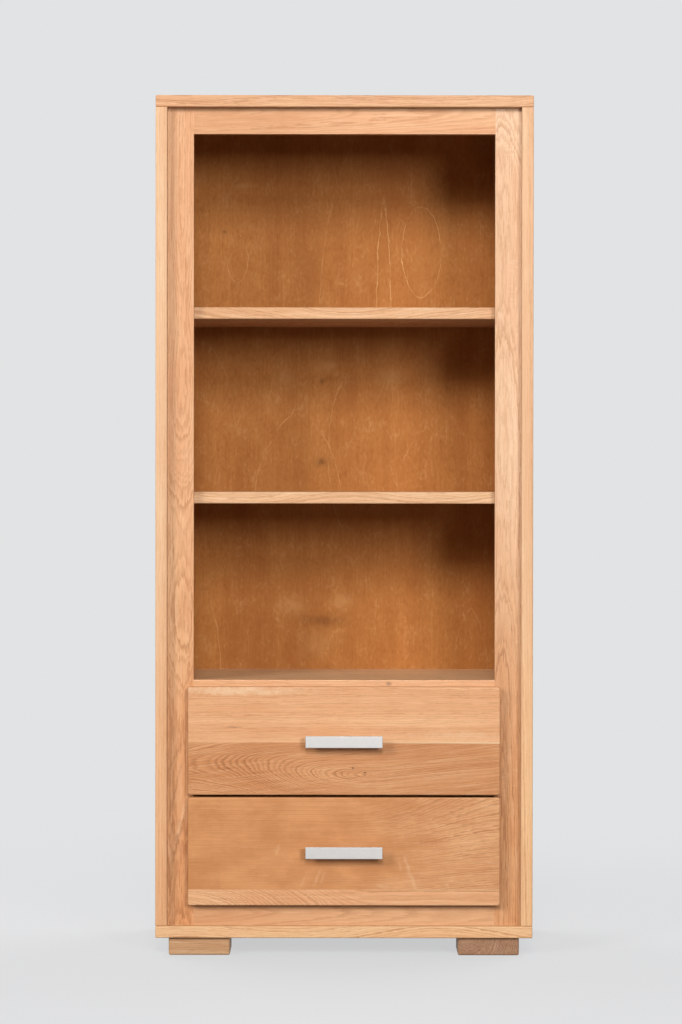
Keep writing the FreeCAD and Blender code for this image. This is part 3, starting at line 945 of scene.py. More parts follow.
# Also the lower right stile's tone, which is partly a painted shadow of the drawer fronts beside it.
DEEP_OAK = Tint(srgb(232, 170, 118), srgb(216, 147, 95), srgb(170, 105, 60))
SMOOTH_OAK = Tint(srgb(226, 158, 103), srgb(208, 139, 85), srgb(182, 116, 67))
FOOT_OAK = Tint(srgb(226, 182, 138), srgb(212, 162, 118), srgb(170, 117, 77))
DULL_FOOT_OAK = Tint(srgb(190, 146, 112), srgb(168, 122, 90), srgb(126, 82, 56))
BIRCH = Tint(srgb(238, 212, 172), srgb(226, 194, 148), srgb(196, 158, 112))
BEECH = Tint(srgb(226, 182, 142), srgb(212, 162, 120), srgb(176, 122, 84))

WOOD_SHINE = 0.3
WOOD_BUMP = {"strength": 0.22, "depth": 0.0006}
VENEER_SHINE = 0.12
VENEER_BUMP = {"strength": 0.15, "depth": 0.0004}
COATING_BUMP = 0.25
FLECK_RAGGED = 3.0
TAIL_SWAY = Texture((4.0, 40.0, 1.0), 2.0)
TAIL_SWAY_REACH = 0.3


@dataclass(frozen=True)
class Knot:
    """A pin knot, placed from the middle of its board, in metres."""

    along: float
    across: float
    size: float = 0.004
    depth: float = 0.8
    on_edge: bool = False


@dataclass(frozen=True)
class Fleck:
    """A pale fleck of silver grain or a dark one on a board, placed from the middle of its face."""

    along: float
    across: float
    half_length: float
    half_width: float
    strength: float
    dark: bool = False
    lean: float = 0.0
    skew: float = 0.0


@dataclass(frozen=True)
class Board(Finish):
    """One oiled board or glued-up panel: how it was sawn, its tint and its knots."""

    grain: Axis
    face: Axis
    tint: Tint
    seed: float
    stave_width: float = 10.0
    stave_shift: float = 5.0
    pith_across: float = 0.0
    pith_depth: float = 0.06
    lean: float = 0.04
    spread: float = 0.0
    ring_width: float = 0.0042
    wander: float = 0.01
    feather: float = 0.9
    dive: float = 0.0
    climb: float = 0.0
    tilt: float = 0.0
    dive_from: float = 0.0
    dive_to: float = 1.0
    wave: float = 0.0
    blotch: float = 0.25
    contrast: float = 1.0
    stave_contrast: float = 0.0
    rays: float = 0.1
    flecks: tuple[Fleck, ...] = ()
    roughness: float = 0.44
    shine: float = WOOD_SHINE
    knots: tuple[Knot, ...] = ()
    tail: Optional[Tint] = None
    tail_from: float = 0.0
    tail_to: float = 0.0
    tail_contrast: float = 1.0
    tail_across: bool = False

    def tones(self, graph: Graph, along: Signal, across: Signal) -> dict[str, Value]:
        """The board's three tones and its contrast, which may drift along or across it; on some pieces the
        drift is painted shade, light or sheen.

        Args:
            graph: The material's graph.
            along: The place along the grain.
            across: The place across the grain.

        Returns:
            The pale, honey and dark tones and the contrast, by name.
        """
        first = {**vars(self.tint), "contrast": self.contrast}
        if self.tail is None:
            return first
        sway = graph.noise(graph.vector(along, across, self.seed), TAIL_SWAY).swing(TAIL_SWAY_REACH)
        place = across if self.tail_across else along + sway
        share = place.step(self.tail_from, self.tail_to)
        drifted = {name: graph.mix(share, first[name], tone) for name, tone in vars(self.tail).items()}
        return {**drifted, "contrast": graph.blend(share, self.contrast, self.tail_contrast)}

    def pattern(self, surface: Surface, places: tuple[Signal, ...]) -> SimpleNamespace:
        """Wires the board's figure and colour.

        Args:
            surface: The material of the piece.
            places: The X, Y and Z coordinates from the board's middle.

        Returns:
            The colour, roughness and height.
        """
        graph, half = surface.graph, surface.half
        along, across, depth = by_grain(places, self.grain, self.face)
        moved, spots = {False: across, True: depth}, []
        for knot in self.knots:
            made = PIN_KNOT.place(graph, along=along, across=depth if knot.on_edge else across,
                                  at_along=knot.along, at_across=knot.across, size=knot.size)
            moved[knot.on_edge] = moved[knot.on_edge] + made.push
            spots.append(made.mask * knot.depth)
        given = {"along": along, "across": moved[False], "depth": moved[True]}
        sawn = {name: getattr(self, name) for name in BOARD_FIGURE.inputs if name not in given}
        figure = BOARD_FIGURE.place(graph, **given, **sawn)
        rays = figure.rays * self.rays
        for fleck in self.flecks:
            made = SOFT_PATCH.place(graph, u=along, v=across, at_u=fleck.along, at_v=fleck.across,
                                    half_u=fleck.half_length, half_v=fleck.half_width, lean=fleck.lean,
                                    skew=fleck.skew, ragged=FLECK_RAGGED)
            seen = made.mask * fleck.strength
            if fleck.dark:
                spots.append(seen)
            else:
                rays = rays.apply("MAXIMUM", seen)
        # The arrises: rubbed wear with a painted highlight along them.
        wear = EDGE_WEAR_AND_HIGHLIGHT.place(graph, x=places[0], y=places[1], z=places[2],
                               half_x=half.x, half_y=half.y, half_z=half.z)
        marks = {**vars(figure), "rays": rays, "knot": sum(spots, 0.0), "wear": wear.mask}
        return WOOD_COLOUR.place(graph, **marks, **self.tones(graph, along, across),
                                 stave_contrast=self.stave_contrast, roughness=self.roughness)

    def wire(self, surface: Surface) -> None:
        """Wires the oiled board.

        Args:
            surface: The material of the piece.
        """
        made = self.pattern(surface, surface.places())
        surface.feed_wood(made.colour)
        surface.feed("Roughness", made.roughness)
        surface.feed("Specular IOR Level", self.shine)
        surface.feed_bump(made.height, **WOOD_BUMP)


@dataclass(frozen=True)
class GluedPair(Finish):
    """A drawer front of two boards, one over the other, with a pale glue line between them."""

    over: Board
    under: Board
    joint: float
    line: Colour = srgb(250, 214, 170)
    line_height: float = 0.0028
    line_strength: float = 0.75
    line_span: Span = (-0.12, 0.28)
    waver: Texture = Texture((5.0, 1.0, 1.0), 1.0)
    waver_reach: float = 0.003
    seam: Span = (-0.0004, 0.0004)

    def wire(self, surface: Surface) -> None:
        """Wires the two boards and the line where they meet.

        Args:
            surface: The material of the piece.
        """
        graph, places = surface.graph, surface.places()
        over = self.over.pattern(surface, places)
        under = self.under.pattern(surface, places)
        waver = graph.noise(graph.vector(*places), self.waver).swing(self.waver_reach)
        height = places[2] + waver - (self.joint - surface.middle.z)
        above = height.step(*self.seam)
        near = 1.0 - height.apply("ABSOLUTE").step(0.0, self.line_height)
        seen = near * places[0].step(*self.line_span) * self.line_strength
        surface.feed_wood(graph.mix(seen, graph.mix(above, under.colour, over.colour), self.line))
        surface.feed("Roughness", graph.blend(above, under.roughness, over.roughness))
        surface.feed("Specular IOR Level", WOOD_SHINE)
        surface.feed_bump(graph.blend(above, under.height, over.height), **WOOD_BUMP)


@dataclass(frozen=True)
class Loop:
    """A pale loop in a peeled veneer, placed from the middle of its sheet, in metres."""

    across: float
    along: float
    half_width: float
    half_height: float
    strength: float = 0.5
    bow: float = 1.25
    left: float = 1.0
    right: float = 1.0
    lower: float = 1.0


@dataclass(frozen=True)
class Patch:
    """A soft patch in a peeled veneer, placed from the middle of its sheet, in metres."""

    across: float
    along: float
    half_width: float
    half_height: float
    strength: float
    dark: bool = False


@dataclass(frozen=True)
class Stain:
    """How far one mask of a peeled veneer takes its colour to the deep tone, or to the pale one."""

    mask: str
    span: Span
    strength: float
    pale: bool = False


@dataclass(frozen=True)
class Plywood(Finish):
    """A thin plywood sheet with a peeled face veneer, stained or left pale."""

    grain: Axis
    face: Axis
    base: Colour
    deep: Colour
    line: Colour
    seed: float
    bud: Colour = srgb(84, 44, 18)
    stains: tuple[Stain, ...] = (
        Stain("bands", (0.34, 0.66), 0.65), Stain("mottle", (0.48, 0.68), 0.6),
        Stain("mottle", (0.5, 0.3), 0.36, pale=True), Stain("streaks", (0.45, 0.75), 0.3),
        Stain("streaks", (0.42, 0.2), 0.25, pale=True))
    loops: tuple[Loop, ...] = ()
    patches: tuple[Patch, ...] = ()
    roughness: float = 0.5
    streak_roughness: float = 0.12
    line_strength: float = 0.12
    inside_strength: float = 0.3
    pore_strength: float = 0.14
    pore_depth: float = 0.6
    streak_relief: float = 0.4

    def wire(self, surface: Surface) -> None:
        """Wires the stained veneer with its loops, patches and pores.

        Args:
            surface: The material of the piece.
        """
        graph = surface.graph
        along, across, _ = by_grain(surface.places(), self.grain, self.face)
        figure = PEELED_VENEER.place(graph, across=across, along=along, seed=self.seed)
        colour: Value = self.base
        for stain in self.stains:
            share = getattr(figure, stain.mask).step(*stain.span) * stain.strength
            colour = graph.mix(share, colour, self.line if stain.pale else self.deep)
        lines = figure.lines * self.line_strength
        for loop in self.loops:
            made = VENEER_LOOP.place(graph, across=across, along=along, at_across=loop.across,
                                     at_along=loop.along, half_width=loop.half_width,
                                     half_height=loop.half_height, bow=loop.bow, left=loop.left,
                                     right=loop.right, lower=loop.lower)
            lines = lines.apply("MAXIMUM", made.mask * loop.strength)
            colour = graph.mix(made.inside * loop.strength * self.inside_strength, colour, self.base)
        for patch in self.patches:
            made = SOFT_PATCH.place(graph, u=across, v=along, at_u=patch.across, at_v=patch.along,
                                    half_u=patch.half_width, half_v=patch.half_height)
            colour = graph.mix(made.mask * patch.strength, colour, self.bud if patch.dark else self.line)
        colour = graph.mix(lines, colour, self.line)
        surface.feed_wood(graph.mix(figure.pores * self.pore_strength, colour, self.bud))
        surface.feed("Roughness", figure.streaks * self.streak_roughness + self.roughness)
        surface.feed("Specular IOR Level", VENEER_SHINE)
        height = figure.streaks * self.streak_relief - figure.pores * self.pore_depth
        surface.feed_bump(height, **VENEER_BUMP)


@dataclass(frozen=True)
class Coating(Finish):
    """Metal, paint or moulded plastic with a fine uneven surface."""

    colour: Colour
    shade: Colour
    metallic: float = 0.0
    roughness: float = 0.4
    rough_swing: float = 0.1
    brushed: float = 0.0
    bump_depth: float = 0.00005

    def wire(self, surface: Surface) -> None:
        """Wires the colour's clouds, the gloss and the fine grain.

        Args:
            surface: The material of the piece.
        """
        graph = surface.graph
        x, y, z = surface.places()
        made = FINE_SPECKLE.place(graph, x=x, y=y, z=z)
        streak = graph.blend(self.brushed, made.grain, made.brush)
        surface.feed("Base Color", graph.mix(made.cloud, self.colour, self.shade))
        surface.feed("Metallic", self.metallic)
        surface.feed("Roughness", made.cloud.swing(self.rough_swing) + streak.swing(self.rough_swing)
                     + self.roughness)
        surface.feed_bump(streak, COATING_BUMP, self.bump_depth)


HANDLE_METAL = Coating(srgb(193, 190, 187), srgb(187, 184, 181), metallic=1.0, roughness=0.46, brushed=1.0)
RUNNER_COAT = Coating(srgb(222, 220, 212), srgb(208, 206, 198), roughness=0.38, bump_depth=0.0001)
NYLON = Coating(srgb(226, 224, 214), srgb(206, 204, 194), roughness=0.48)
ZINC = Coating(srgb(196, 198, 200), srgb(168, 172, 178), metallic=1.0, roughness=0.34)
PIN_STEEL = Coating(srgb(190, 190, 188), srgb(172, 172, 172), metallic=1.0, roughness=0.28)


# Sub-assemblies


def dress_node(name: str, finish: Finish) -> None:
    """Gives a node of the frame its finish.

    Args:
        name: The node's name.
        finish: The finish.
    """
    finish.dress(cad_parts[name], name)
    LOG.info("dressed %s", name)


@dataclass
class Carcass:
    """The case: sides, top, bottom, the fixed shelf and the two loose shelves."""

    stave_width: float = 0.092
    side_seed: float = 11.0
    side_shift: float = 5.03
    level_seed: float = 21.0
    level_shift: float = 5.06
    spread: float = 0.09
    pith_depth: float = 0.03
    stave_contrast: float = 0.75
    wave: float = 0.06
    divider_knot: Knot = Knot(along=0.095, across=0.004, size=0.0045, depth=0.5, on_edge=True)

    def panel(self, grain: Axis, face: Axis, tint: Tint, **more: object) -> Board:
        """A panel glued up from staves.

        Args:
            grain: The way the grain runs.
            face: The way the wide face looks.
            tint: The panel's tones.
            **more: Other values of the board, with the seed that sets its staves.

        Returns:
            The panel's finish.
        """
        return Board(grain, face, tint, stave_width=self.stave_width, spread=self.spread, lean=0.0,
                     stave_contrast=self.stave_contrast, pith_depth=self.pith_depth, **more)

    def dress(self) -> None:
        """Dresses each panel of the case."""
        # Lower down the side panels drift to a second tint: darker on the left, painted shade where less
        # light falls; on the right a tint that holds the lower edge as bright as above, painted light.
        sides = (("left_side_panel", LIGHT_OAK), ("right_side_panel", SILL_OAK))
        for step, (name, tail) in enumerate(sides):
            dress_node(name, self.panel(Axis.Z, Axis.X, EDGE_OAK, seed=self.side_seed + step,
                                        stave_shift=self.side_shift, contrast=0.7, tail=tail,
                                        tail_from=0.1, tail_to=-0.7, tail_contrast=0.8))
        levels = (("top_panel", TOP_OAK), ("upper_shelf", PANEL_OAK), ("lower_shelf", PANEL_OAK),
                  ("bottom_panel", SILL_OAK))
        for step, (name, tint) in enumerate(levels):
            dress_node(name, self.panel(Axis.X, Axis.Z, tint, seed=self.level_seed + step,
                                        stave_shift=self.level_shift, wave=self.wave))
        # The top behind the front edge is paler: partly a paler board, partly a painted sheen of the top
        # seen at a grazing angle.
        dress_node("divider_shelf", self.panel(
            Axis.X, Axis.Z, DIVIDER_OAK, seed=27.0, stave_shift=self.level_shift, wave=0.04, shine=1.0,
            roughness=0.36, contrast=0.85, knots=(self.divider_knot,), tail=PALE_TOP_AND_SHEEN_OAK, tail_from=-0.178,
            tail_to=-0.16, tail_across=True))


@dataclass
class FaceFrame:
    """The two stiles and two rails round the front."""

    stile_wander: float = 0.016
    stile_feather: float = 1.6
    stile_contrast: float = 0.85
    left_flecks: tuple[Fleck, ...] = (
        Fleck(-0.694, -0.007, 0.055, 0.003, 0.34, dark=True, skew=0.256),
        Fleck(-0.582, -0.011, 0.045, 0.0025, 0.3, dark=True, skew=0.226),
        Fleck(-0.505, -0.009, 0.035, 0.0025, 0.26, dark=True, skew=0.5),
        Fleck(-0.640, 0.002, 0.05, 0.004, 0.5, skew=0.25))

    def stile(self, tint: Tint, **more: object) -> Board:
        """A stile of one board.

        Args:
            tint: Its tones at the top.
            **more: Other values of the board.

        Returns:
            The stile's finish.
        """
        return Board(Axis.Z, Axis.Y, tint, pith_depth=0.05, wander=self.stile_wander,
                     feather=self.stile_feather, contrast=self.stile_contrast, **more)

    def dress(self) -> None:
        """Dresses each member with one board."""
        # The left stile darkens downwards: painted shade where less light falls lower down.
        dress_node("left_stile", self.stile(FRAME_OAK, seed=31.0, pith_across=0.003, lean=-0.045, wave=0.07,
                                            tail=LOW_SHADE_OAK, tail_from=0.15, tail_to=-0.75,
                                            flecks=self.left_flecks))
        # The right stile darkens downwards: partly darker wood, partly a painted shadow of the drawer
        # fronts beside it.
        dress_node("right_stile", self.stile(ROSY_OAK, seed=32.6, pith_across=-0.012, wave=0.04, rays=0.3,
                                             tail=DEEP_OAK, tail_from=0.3, tail_to=-0.6))
        dress_node("top_rail", Board(Axis.X, Axis.Y, FRAME_OAK, seed=33.0, pith_across=0.02,
                                     pith_depth=0.045, lean=0.05, contrast=0.6, tail=RAIL_OAK,
                                     tail_from=0.1, tail_to=-0.28, tail_contrast=0.6))
        dress_node("bottom_rail", Board(Axis.X, Axis.Y, FOOT_RAIL_OAK, seed=34.0, pith_depth=0.05,
                                        contrast=0.595))


@dataclass
class Feet:
    """The four block feet under the case."""

    seed: float = 41.0
    ring_width: float = 0.003
    pith_across: float = 0.02
    pith_depth: float = 0.05
    lean: float = 0.1

    def dress(self) -> None:
        """Dresses each foot as a short block, with long grain at the left and end grain at the right."""
        for step, (corner, grain, face, tint) in enumerate((
                ("front_left", Axis.X, Axis.Y, FOOT_OAK), ("front_right", Axis.Y, Axis.X, DULL_FOOT_OAK),
                ("rear_left", Axis.X, Axis.Y, FOOT_OAK), ("rear_right", Axis.Y, Axis.X, DULL_FOOT_OAK))):
            dress_node(corner + "_foot", Board(grain, face, tint, seed=self.seed + step, lean=self.lean,
                                               pith_across=self.pith_across, pith_depth=self.pith_depth,
                                               ring_width=self.ring_width))


@dataclass
class BackPanel:
    """The stained plywood sheet let into the back."""

    base: Colour = srgb(201, 130, 67)
    deep: Colour = srgb(172, 100, 45)
    line: Colour = srgb(229, 172, 109)
    loops: tuple[Loop, ...] = (
        Loop(0.173, 0.590, 0.044, 0.102, 0.8, bow=1.8), Loop(0.088, 0.460, 0.016, 0.248, 0.75, lower=0.0),
        Loop(0.012, 0.420, 0.069, 0.396, 0.3, right=0.0, lower=0.0),
        Loop(-0.240, 0.574, 0.024, 0.057, 0.4),
        Loop(-0.206, 0.652, 0.065, 0.146, 0.25, right=0.0, lower=0.0),
        Loop(-0.103, 0.024, 0.098, 0.215, 0.42, lower=0.0),
        Loop(-0.004, 0.136, 0.032, 0.164, 0.4, right=0.0),
        Loop(-0.293, 0.161, 0.050, 0.207, 0.25, left=0.0),
        Loop(0.159, 0.040, 0.040, 0.129, 0.4, right=0.0, lower=0.0),
        Loop(0.112, 0.057, 0.069, 0.276, 0.2, right=0.0, lower=0.0),
        Loop(-0.314, -0.356, 0.038, 0.190, 0.42, lower=0.0),
        Loop(0.284, -0.356, 0.039, 0.146, 0.2, lower=0.0))
    patches: tuple[Patch, ...] = (
        Patch(-0.228, 0.738, 0.020, 0.006, 0.3), Patch(-0.269, 0.635, 0.004, 0.004, 0.5, dark=True),
        Patch(-0.039, 0.333, 0.018, 0.012, 0.35), Patch(-0.134, 0.308, 0.022, 0.016, 0.25),
        Patch(0.103, 0.312, 0.030, 0.014, 0.28), Patch(-0.050, 0.300, 0.004, 0.006, 0.5, dark=True),
        Patch(-0.050, 0.120, 0.005, 0.005, 0.65, dark=True),
        Patch(-0.050, 0.118, 0.020, 0.009, 0.25, dark=True),
        Patch(-0.047, -0.237, 0.048, 0.012, 0.42, dark=True), Patch(-0.116, -0.203, 0.030, 0.020, 0.35),
        Patch(-0.004, -0.194, 0.026, 0.017, 0.35), Patch(-0.056, -0.287, 0.035, 0.030, 0.25))

    def dress(self) -> None:
        """Dresses the sheet with its stained veneer."""
        dress_node("back_panel", Plywood(Axis.Z, Axis.Y, self.base, self.deep, self.line, seed=3.0,
                                         loops=self.loops, patches=self.patches))


UPPER_FRONT = GluedPair(
    over=Board(Axis.X, Axis.Y, LIGHT_OAK, seed=51.0, pith_across=0.2, pith_depth=0.05, lean=0.03,
               wander=0.02, wave=0.04, feather=1.5, contrast=0.62, rays=0.0, flecks=(
                   Fleck(-0.225, 0.107, 0.12, 0.008, 0.9), Fleck(0.248, 0.012, 0.09, 0.008, 0.4),
                   Fleck(0.245, 0.1, 0.02, 0.006, 0.12, dark=True),
                   Fleck(-0.235, 0.029, 0.012, 0.0014, 0.5, dark=True))),
    under=Board(Axis.X, Axis.Y, DEEP_OAK, seed=52.0, pith_across=-0.078, pith_depth=0.008, lean=-0.01,
                dive=0.06, climb=0.06, tilt=0.1, dive_from=0.12, dive_to=-0.36, ring_width=0.0021,
                wander=0.02, feather=0.6, contrast=0.9, rays=0.0,
                knots=(Knot(0.019, -0.057, 0.0024, 0.6), Knot(0.044, -0.067, 0.0022, 0.6))),
    joint=0.453)
LOWER_FRONT = GluedPair(
    over=Board(Axis.X, Axis.Y, SMOOTH_OAK, seed=53.0, pith_across=0.17, pith_depth=0.1, lean=0.0,
               dive=0.055, dive_to=0.36, ring_width=0.0034, wander=0.02, blotch=0.8, contrast=0.3,
               rays=0.08, tail=GOLD_OAK, tail_from=-0.02, tail_to=0.36, tail_contrast=0.95, flecks=(
                   Fleck(-0.141, 0.003, 0.003, 0.011, 0.3, lean=0.3),
                   Fleck(-0.086, -0.060, 0.003, 0.013, 0.25, lean=0.4),
                   Fleck(-0.058, -0.058, 0.003, 0.014, 0.35, lean=0.4),
                   Fleck(-0.045, -0.056, 0.003, 0.012, 0.25, lean=0.4),
                   Fleck(0.134, -0.030, 0.0034, 0.018, 0.5, lean=-0.2),
                   Fleck(0.145, -0.058, 0.0034, 0.018, 0.55, lean=-0.35),
                   Fleck(0.119, -0.030, 0.003, 0.010, 0.25, lean=-0.2),
                   Fleck(0.219, -0.073, 0.003, 0.008, 0.3, lean=-0.3),
                   Fleck(0.080, -0.073, 0.020, 0.005, 0.35))),
    under=Board(Axis.X, Axis.Y, LIGHT_OAK, seed=54.0, pith_across=-0.14, pith_depth=0.05, lean=0.0,
                dive=0.09, dive_from=-0.38, dive_to=0.06, ring_width=0.0029, feather=0.6, contrast=0.9,
                rays=0.0),
    joint=0.141, line_strength=0.2)


@dataclass
class Drawer:
    """One drawer: its front, box, handle and the runners screwed to it."""

    level: str
    front: Finish
    seed: float
    block_seed: float = 7.0
    bottom_line: Colour = srgb(244, 226, 192)

    def node(self, piece: str) -> str:
        """The full name of one of the drawer's pieces."""
        return f"{self.level}_drawer_{piece}"

    def dress(self) -> None:
        """Dresses the front, the box, the bottom, the handle and the runners."""
        dress_node(self.node("front"), self.front)
        for step, (piece, grain, face) in enumerate((
                ("box_front", Axis.X, Axis.Y), ("box_back", Axis.X, Axis.Y),
                ("left_side", Axis.Y, Axis.X), ("right_side", Axis.Y, Axis.X))):
            dress_node(self.node(piece), Board(grain, face, BIRCH, seed=self.seed + step, contrast=0.4,
                                               pith_depth=0.08, lean=0.03, roughness=0.5))
        dress_node(self.node("bottom"), Plywood(Axis.X, Axis.Z, BIRCH.pale, BIRCH.honey, self.bottom_line,
                                                seed=self.seed))
        dress_node(self.node("handle"), HANDLE_METAL)
        block = Board(Axis.Y, Axis.X, BEECH, seed=self.seed + self.block_seed, contrast=0.5)
        for side in ("left", "right"):
            dress_node(self.node(side + "_runner"), RUNNER_COAT)
            dress_node(f"{self.level}_{side}_cabinet_runner", RUNNER_COAT)
            dress_node(f"{self.level}_{side}_packing_block", block)
        for end in ("front", "rear"):
            dress_node(f"{self.level}_{end}_rollers", NYLON)


@dataclass(frozen=True)
class ScrewKind:
    """One kind of screw: the shape of its head and its sizes in metres."""

    head: Head
    shank: float
    head_height: float


WOOD_SCREW = ScrewKind(Head.FLAT, 0.00225, 0.0026)
BACK_SCREW = ScrewKind(Head.FLAT, 0.0015, 0.0017)
RUNNER_SCREW = ScrewKind(Head.PAN, 0.00175, 0.0012)
BOX_SCREW = ScrewKind(Head.PAN, 0.002, 0.0024)


@dataclass
class ScrewSet:
    """The screws of one node, each with a cross recess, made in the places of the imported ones."""

    node: str
    body: str
    facing: Facing
    kind: ScrewKind
    segments: int = 8
    recess_share: float = 0.56
    recess_depth: float = 0.62
    recess_taper: float = 0.72
    crown_share: float = 0.62
    crown_spread: float = 1.35
    crown_drop: float = 0.35
    tip_share: float = 0.04
    merge: float = 0.000002
    tolerance: float = 0.01
    smooth_angle: float = math.radians(32.0)

    def islands(self) -> list[tuple[Vector, Vector]]:
        """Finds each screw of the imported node.

        Returns:
            The lowest and highest corner of each screw.
        """
        copy = bmesh.new()
        copy.from_mesh(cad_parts[self.node].data)
        bmesh.ops.remove_doubles(copy, verts=copy.verts, dist=self.merge)
        left, found = set(copy.verts), []
        while left:
            front = [left.pop()]
            low, high = front[0].co.copy(), front[0].co.copy()
            while front:
                vert = front.pop()
                low, high = Vector(map(min, low, vert.co)), Vector(map(max, high, vert.co))
                near = {edge.other_vert(vert) for edge in vert.link_edges} & left
                left -= near
                front.extend(near)
            found.append((low, high))
        copy.free()
        return sorted(found, key=lambda pair: tuple(pair[0]))

    def ring(self, mesh: bmesh.types.BMesh, edges: Edges, drop: float, scale: float) -> Edges:
        """Draws a ring of edges down and in or out.

        Args:
            mesh: The mesh.
            edges: The ring to draw from.
            drop: How far down it goes.
            scale: How much wider it gets.

        Returns:
            The new ring.
        """
        made = bmesh.ops.extrude_edge_only(mesh, edges=edges)["geom"]
        verts = [part for part in made if isinstance(part, bmesh.types.BMVert)]
        bmesh.ops.scale(mesh, vec=(scale, scale, 1.0), verts=verts)
        bmesh.ops.translate(mesh, vec=(0.0, 0.0, -drop), verts=verts)
        fresh = set(verts)
        return [part for part in made if isinstance(part, bmesh.types.BMEdge)
                and all(vert in fresh for vert in part.verts)]

    def recessed_face(self, mesh: bmesh.types.BMesh, radius: float, inner: float) -> Edges:
        """Makes the face of a head, with its cross recess.

        Args:
            mesh: The mesh.
            radius: The head's radius.
            inner: The radius that the face reaches.

        Returns:
            The face's outer ring of edges.
        """
        reach = radius * self.recess_share / math.sqrt(2.0)
        bmesh.ops.create_grid(mesh, x_segments=self.segments, y_segments=self.segments, size=reach)
        arm = reach / self.segments * 2.0
        cross = [face for face in mesh.faces
                 if min(abs(face.calc_center_median().x), abs(face.calc_center_median().y)) < arm]
        rim = [edge for edge in mesh.edges if edge.is_boundary]
        sunk = bmesh.ops.extrude_face_region(mesh, geom=cross)["geom"]
        floor = [part for part in sunk if isinstance(part, bmesh.types.BMVert)]
        bmesh.ops.delete(mesh, geom=cross, context="FACES_ONLY")
        drop = self.kind.head_height * self.recess_depth
        bmesh.ops.translate(mesh, vec=(0.0, 0.0, -drop), verts=floor)
        bmesh.ops.scale(mesh, vec=(self.recess_taper, self.recess_taper, 1.0), verts=floor)
        made = bmesh.ops.create_circle(mesh, cap_ends=False, radius=inner, segments=self.segments * 4)
        loop = list({edge for vert in made["verts"] for edge in vert.link_edges})
        rim = [edge for edge in rim if edge.is_valid and edge.is_boundary]
        bmesh.ops.bridge_loops(mesh, edges=rim + loop)
        slack = inner * self.tolerance
        return [edge for edge in mesh.edges if edge.is_boundary
                and all(abs(vert.co.xy.length - inner) < slack for vert in edge.verts)]

    def screw(self, radius: float, length: float) -> bmesh.types.BMesh:
        """Makes one screw with its head's face at the origin, looking up.

        Args:
            radius: The head's radius.
            length: The whole length.

        Returns:
            The screw's mesh.
        """
        mesh = bmesh.new()
        shank, head_height = self.kind.shank, self.kind.head_height
        inner = radius if self.kind.head is Head.FLAT else radius * self.crown_share
        loop = self.recessed_face(mesh, radius, inner)
        if self.kind.head is Head.PAN:
            crown, spread = head_height * (1.0 - self.crown_share), self.crown_spread
            loop = self.ring(mesh, loop, crown * self.crown_drop, spread)
            loop = self.ring(mesh, loop, crown * (1.0 - self.crown_drop), radius / (inner * spread))
            loop = self.ring(mesh, loop, head_height - crown, 1.0)
            loop = self.ring(mesh, loop, 0.0, shank / radius)
        else:
            loop = self.ring(mesh, loop, head_height, shank / radius)
        loop = self.ring(mesh, loop, length - head_height - shank, 1.0)
        loop = self.ring(mesh, loop, shank, self.tip_share)
        bmesh.ops.contextual_create(mesh, geom=loop)
        bmesh.ops.recalc_face_normals(mesh, faces=mesh.faces)
        return mesh

    def build(self) -> None:
        """Makes every screw of the set as one piece that rides in the node's place."""
        name = self.node + "_detail"
        data = bpy.data.meshes.new(name)
        whole = bmesh.new()
        for low, high in self.islands():
            middle, size = (low + high) / 2, high - low
            look = Vector(self.facing.value)
            if self.facing is Facing.INWARD and middle.x > 0:
                look = -look
            axis = max(range(3), key=lambda index: abs(look[index]))
            radius = max(size[index] for index in range(3) if index != axis) / 2
            screw = self.screw(radius, size[axis])
            turn = look.to_track_quat("Z", "Y").to_matrix().to_4x4()
            place = Matrix.Translation(middle + look * size[axis] / 2) @ turn
            bmesh.ops.transform(screw, matrix=place, verts=screw.verts)
            one = bpy.data.meshes.new("screw")
            screw.to_mesh(one)
            screw.free()
            whole.from_mesh(one)
            bpy.data.meshes.remove(one)
        whole.to_mesh(data)
        whole.free()
        data.polygons.foreach_set("use_smooth", [True] * len(data.polygons))
        data.set_sharp_from_angle(angle=self.smooth_angle)
        piece = bpy.data.objects.new(name, data)
        bpy.context.scene.collection.objects.link(piece)
        ZINC.dress(piece, self.node)
        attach(piece, self.body)
        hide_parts(self.node)
        LOG.info("built %s", piece.name)


@dataclass
class Fasteners:
    """All screws, dowels and pins."""

    case_sets: tuple[ScrewSet, ...] = (
        ScrewSet("back_panel_screws", "case", Facing.REAR, BACK_SCREW),
        ScrewSet("foot_screws", "case", Facing.DOWN, WOOD_SCREW),
        ScrewSet("packing_screws", "case", Facing.INWARD, WOOD_SCREW),
        ScrewSet("cabinet_runner_screws", "case", Facing.INWARD, RUNNER_SCREW))

    def build(self) -> None:
        """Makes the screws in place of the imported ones."""
        for screws in self.case_sets:
            screws.build()
        for body in ("lower_drawer", "upper_drawer"):
            ScrewSet(body + "_runner_screws", body, Facing.DOWN, RUNNER_SCREW).build()
            ScrewSet(body + "_front_screws", body, Facing.REAR, BOX_SCREW).build()
            ScrewSet(body + "_handle_screws", body, Facing.REAR, BOX_SCREW).build()

    def dress(self) -> None:
        """Dresses the dowels and the shelf pins."""
        dress_node("dowels", Board(Axis.X, Axis.Z, BEECH, seed=61.0, contrast=0.5))
        dress_node("shelf_pins", PIN_STEEL)


# Studio


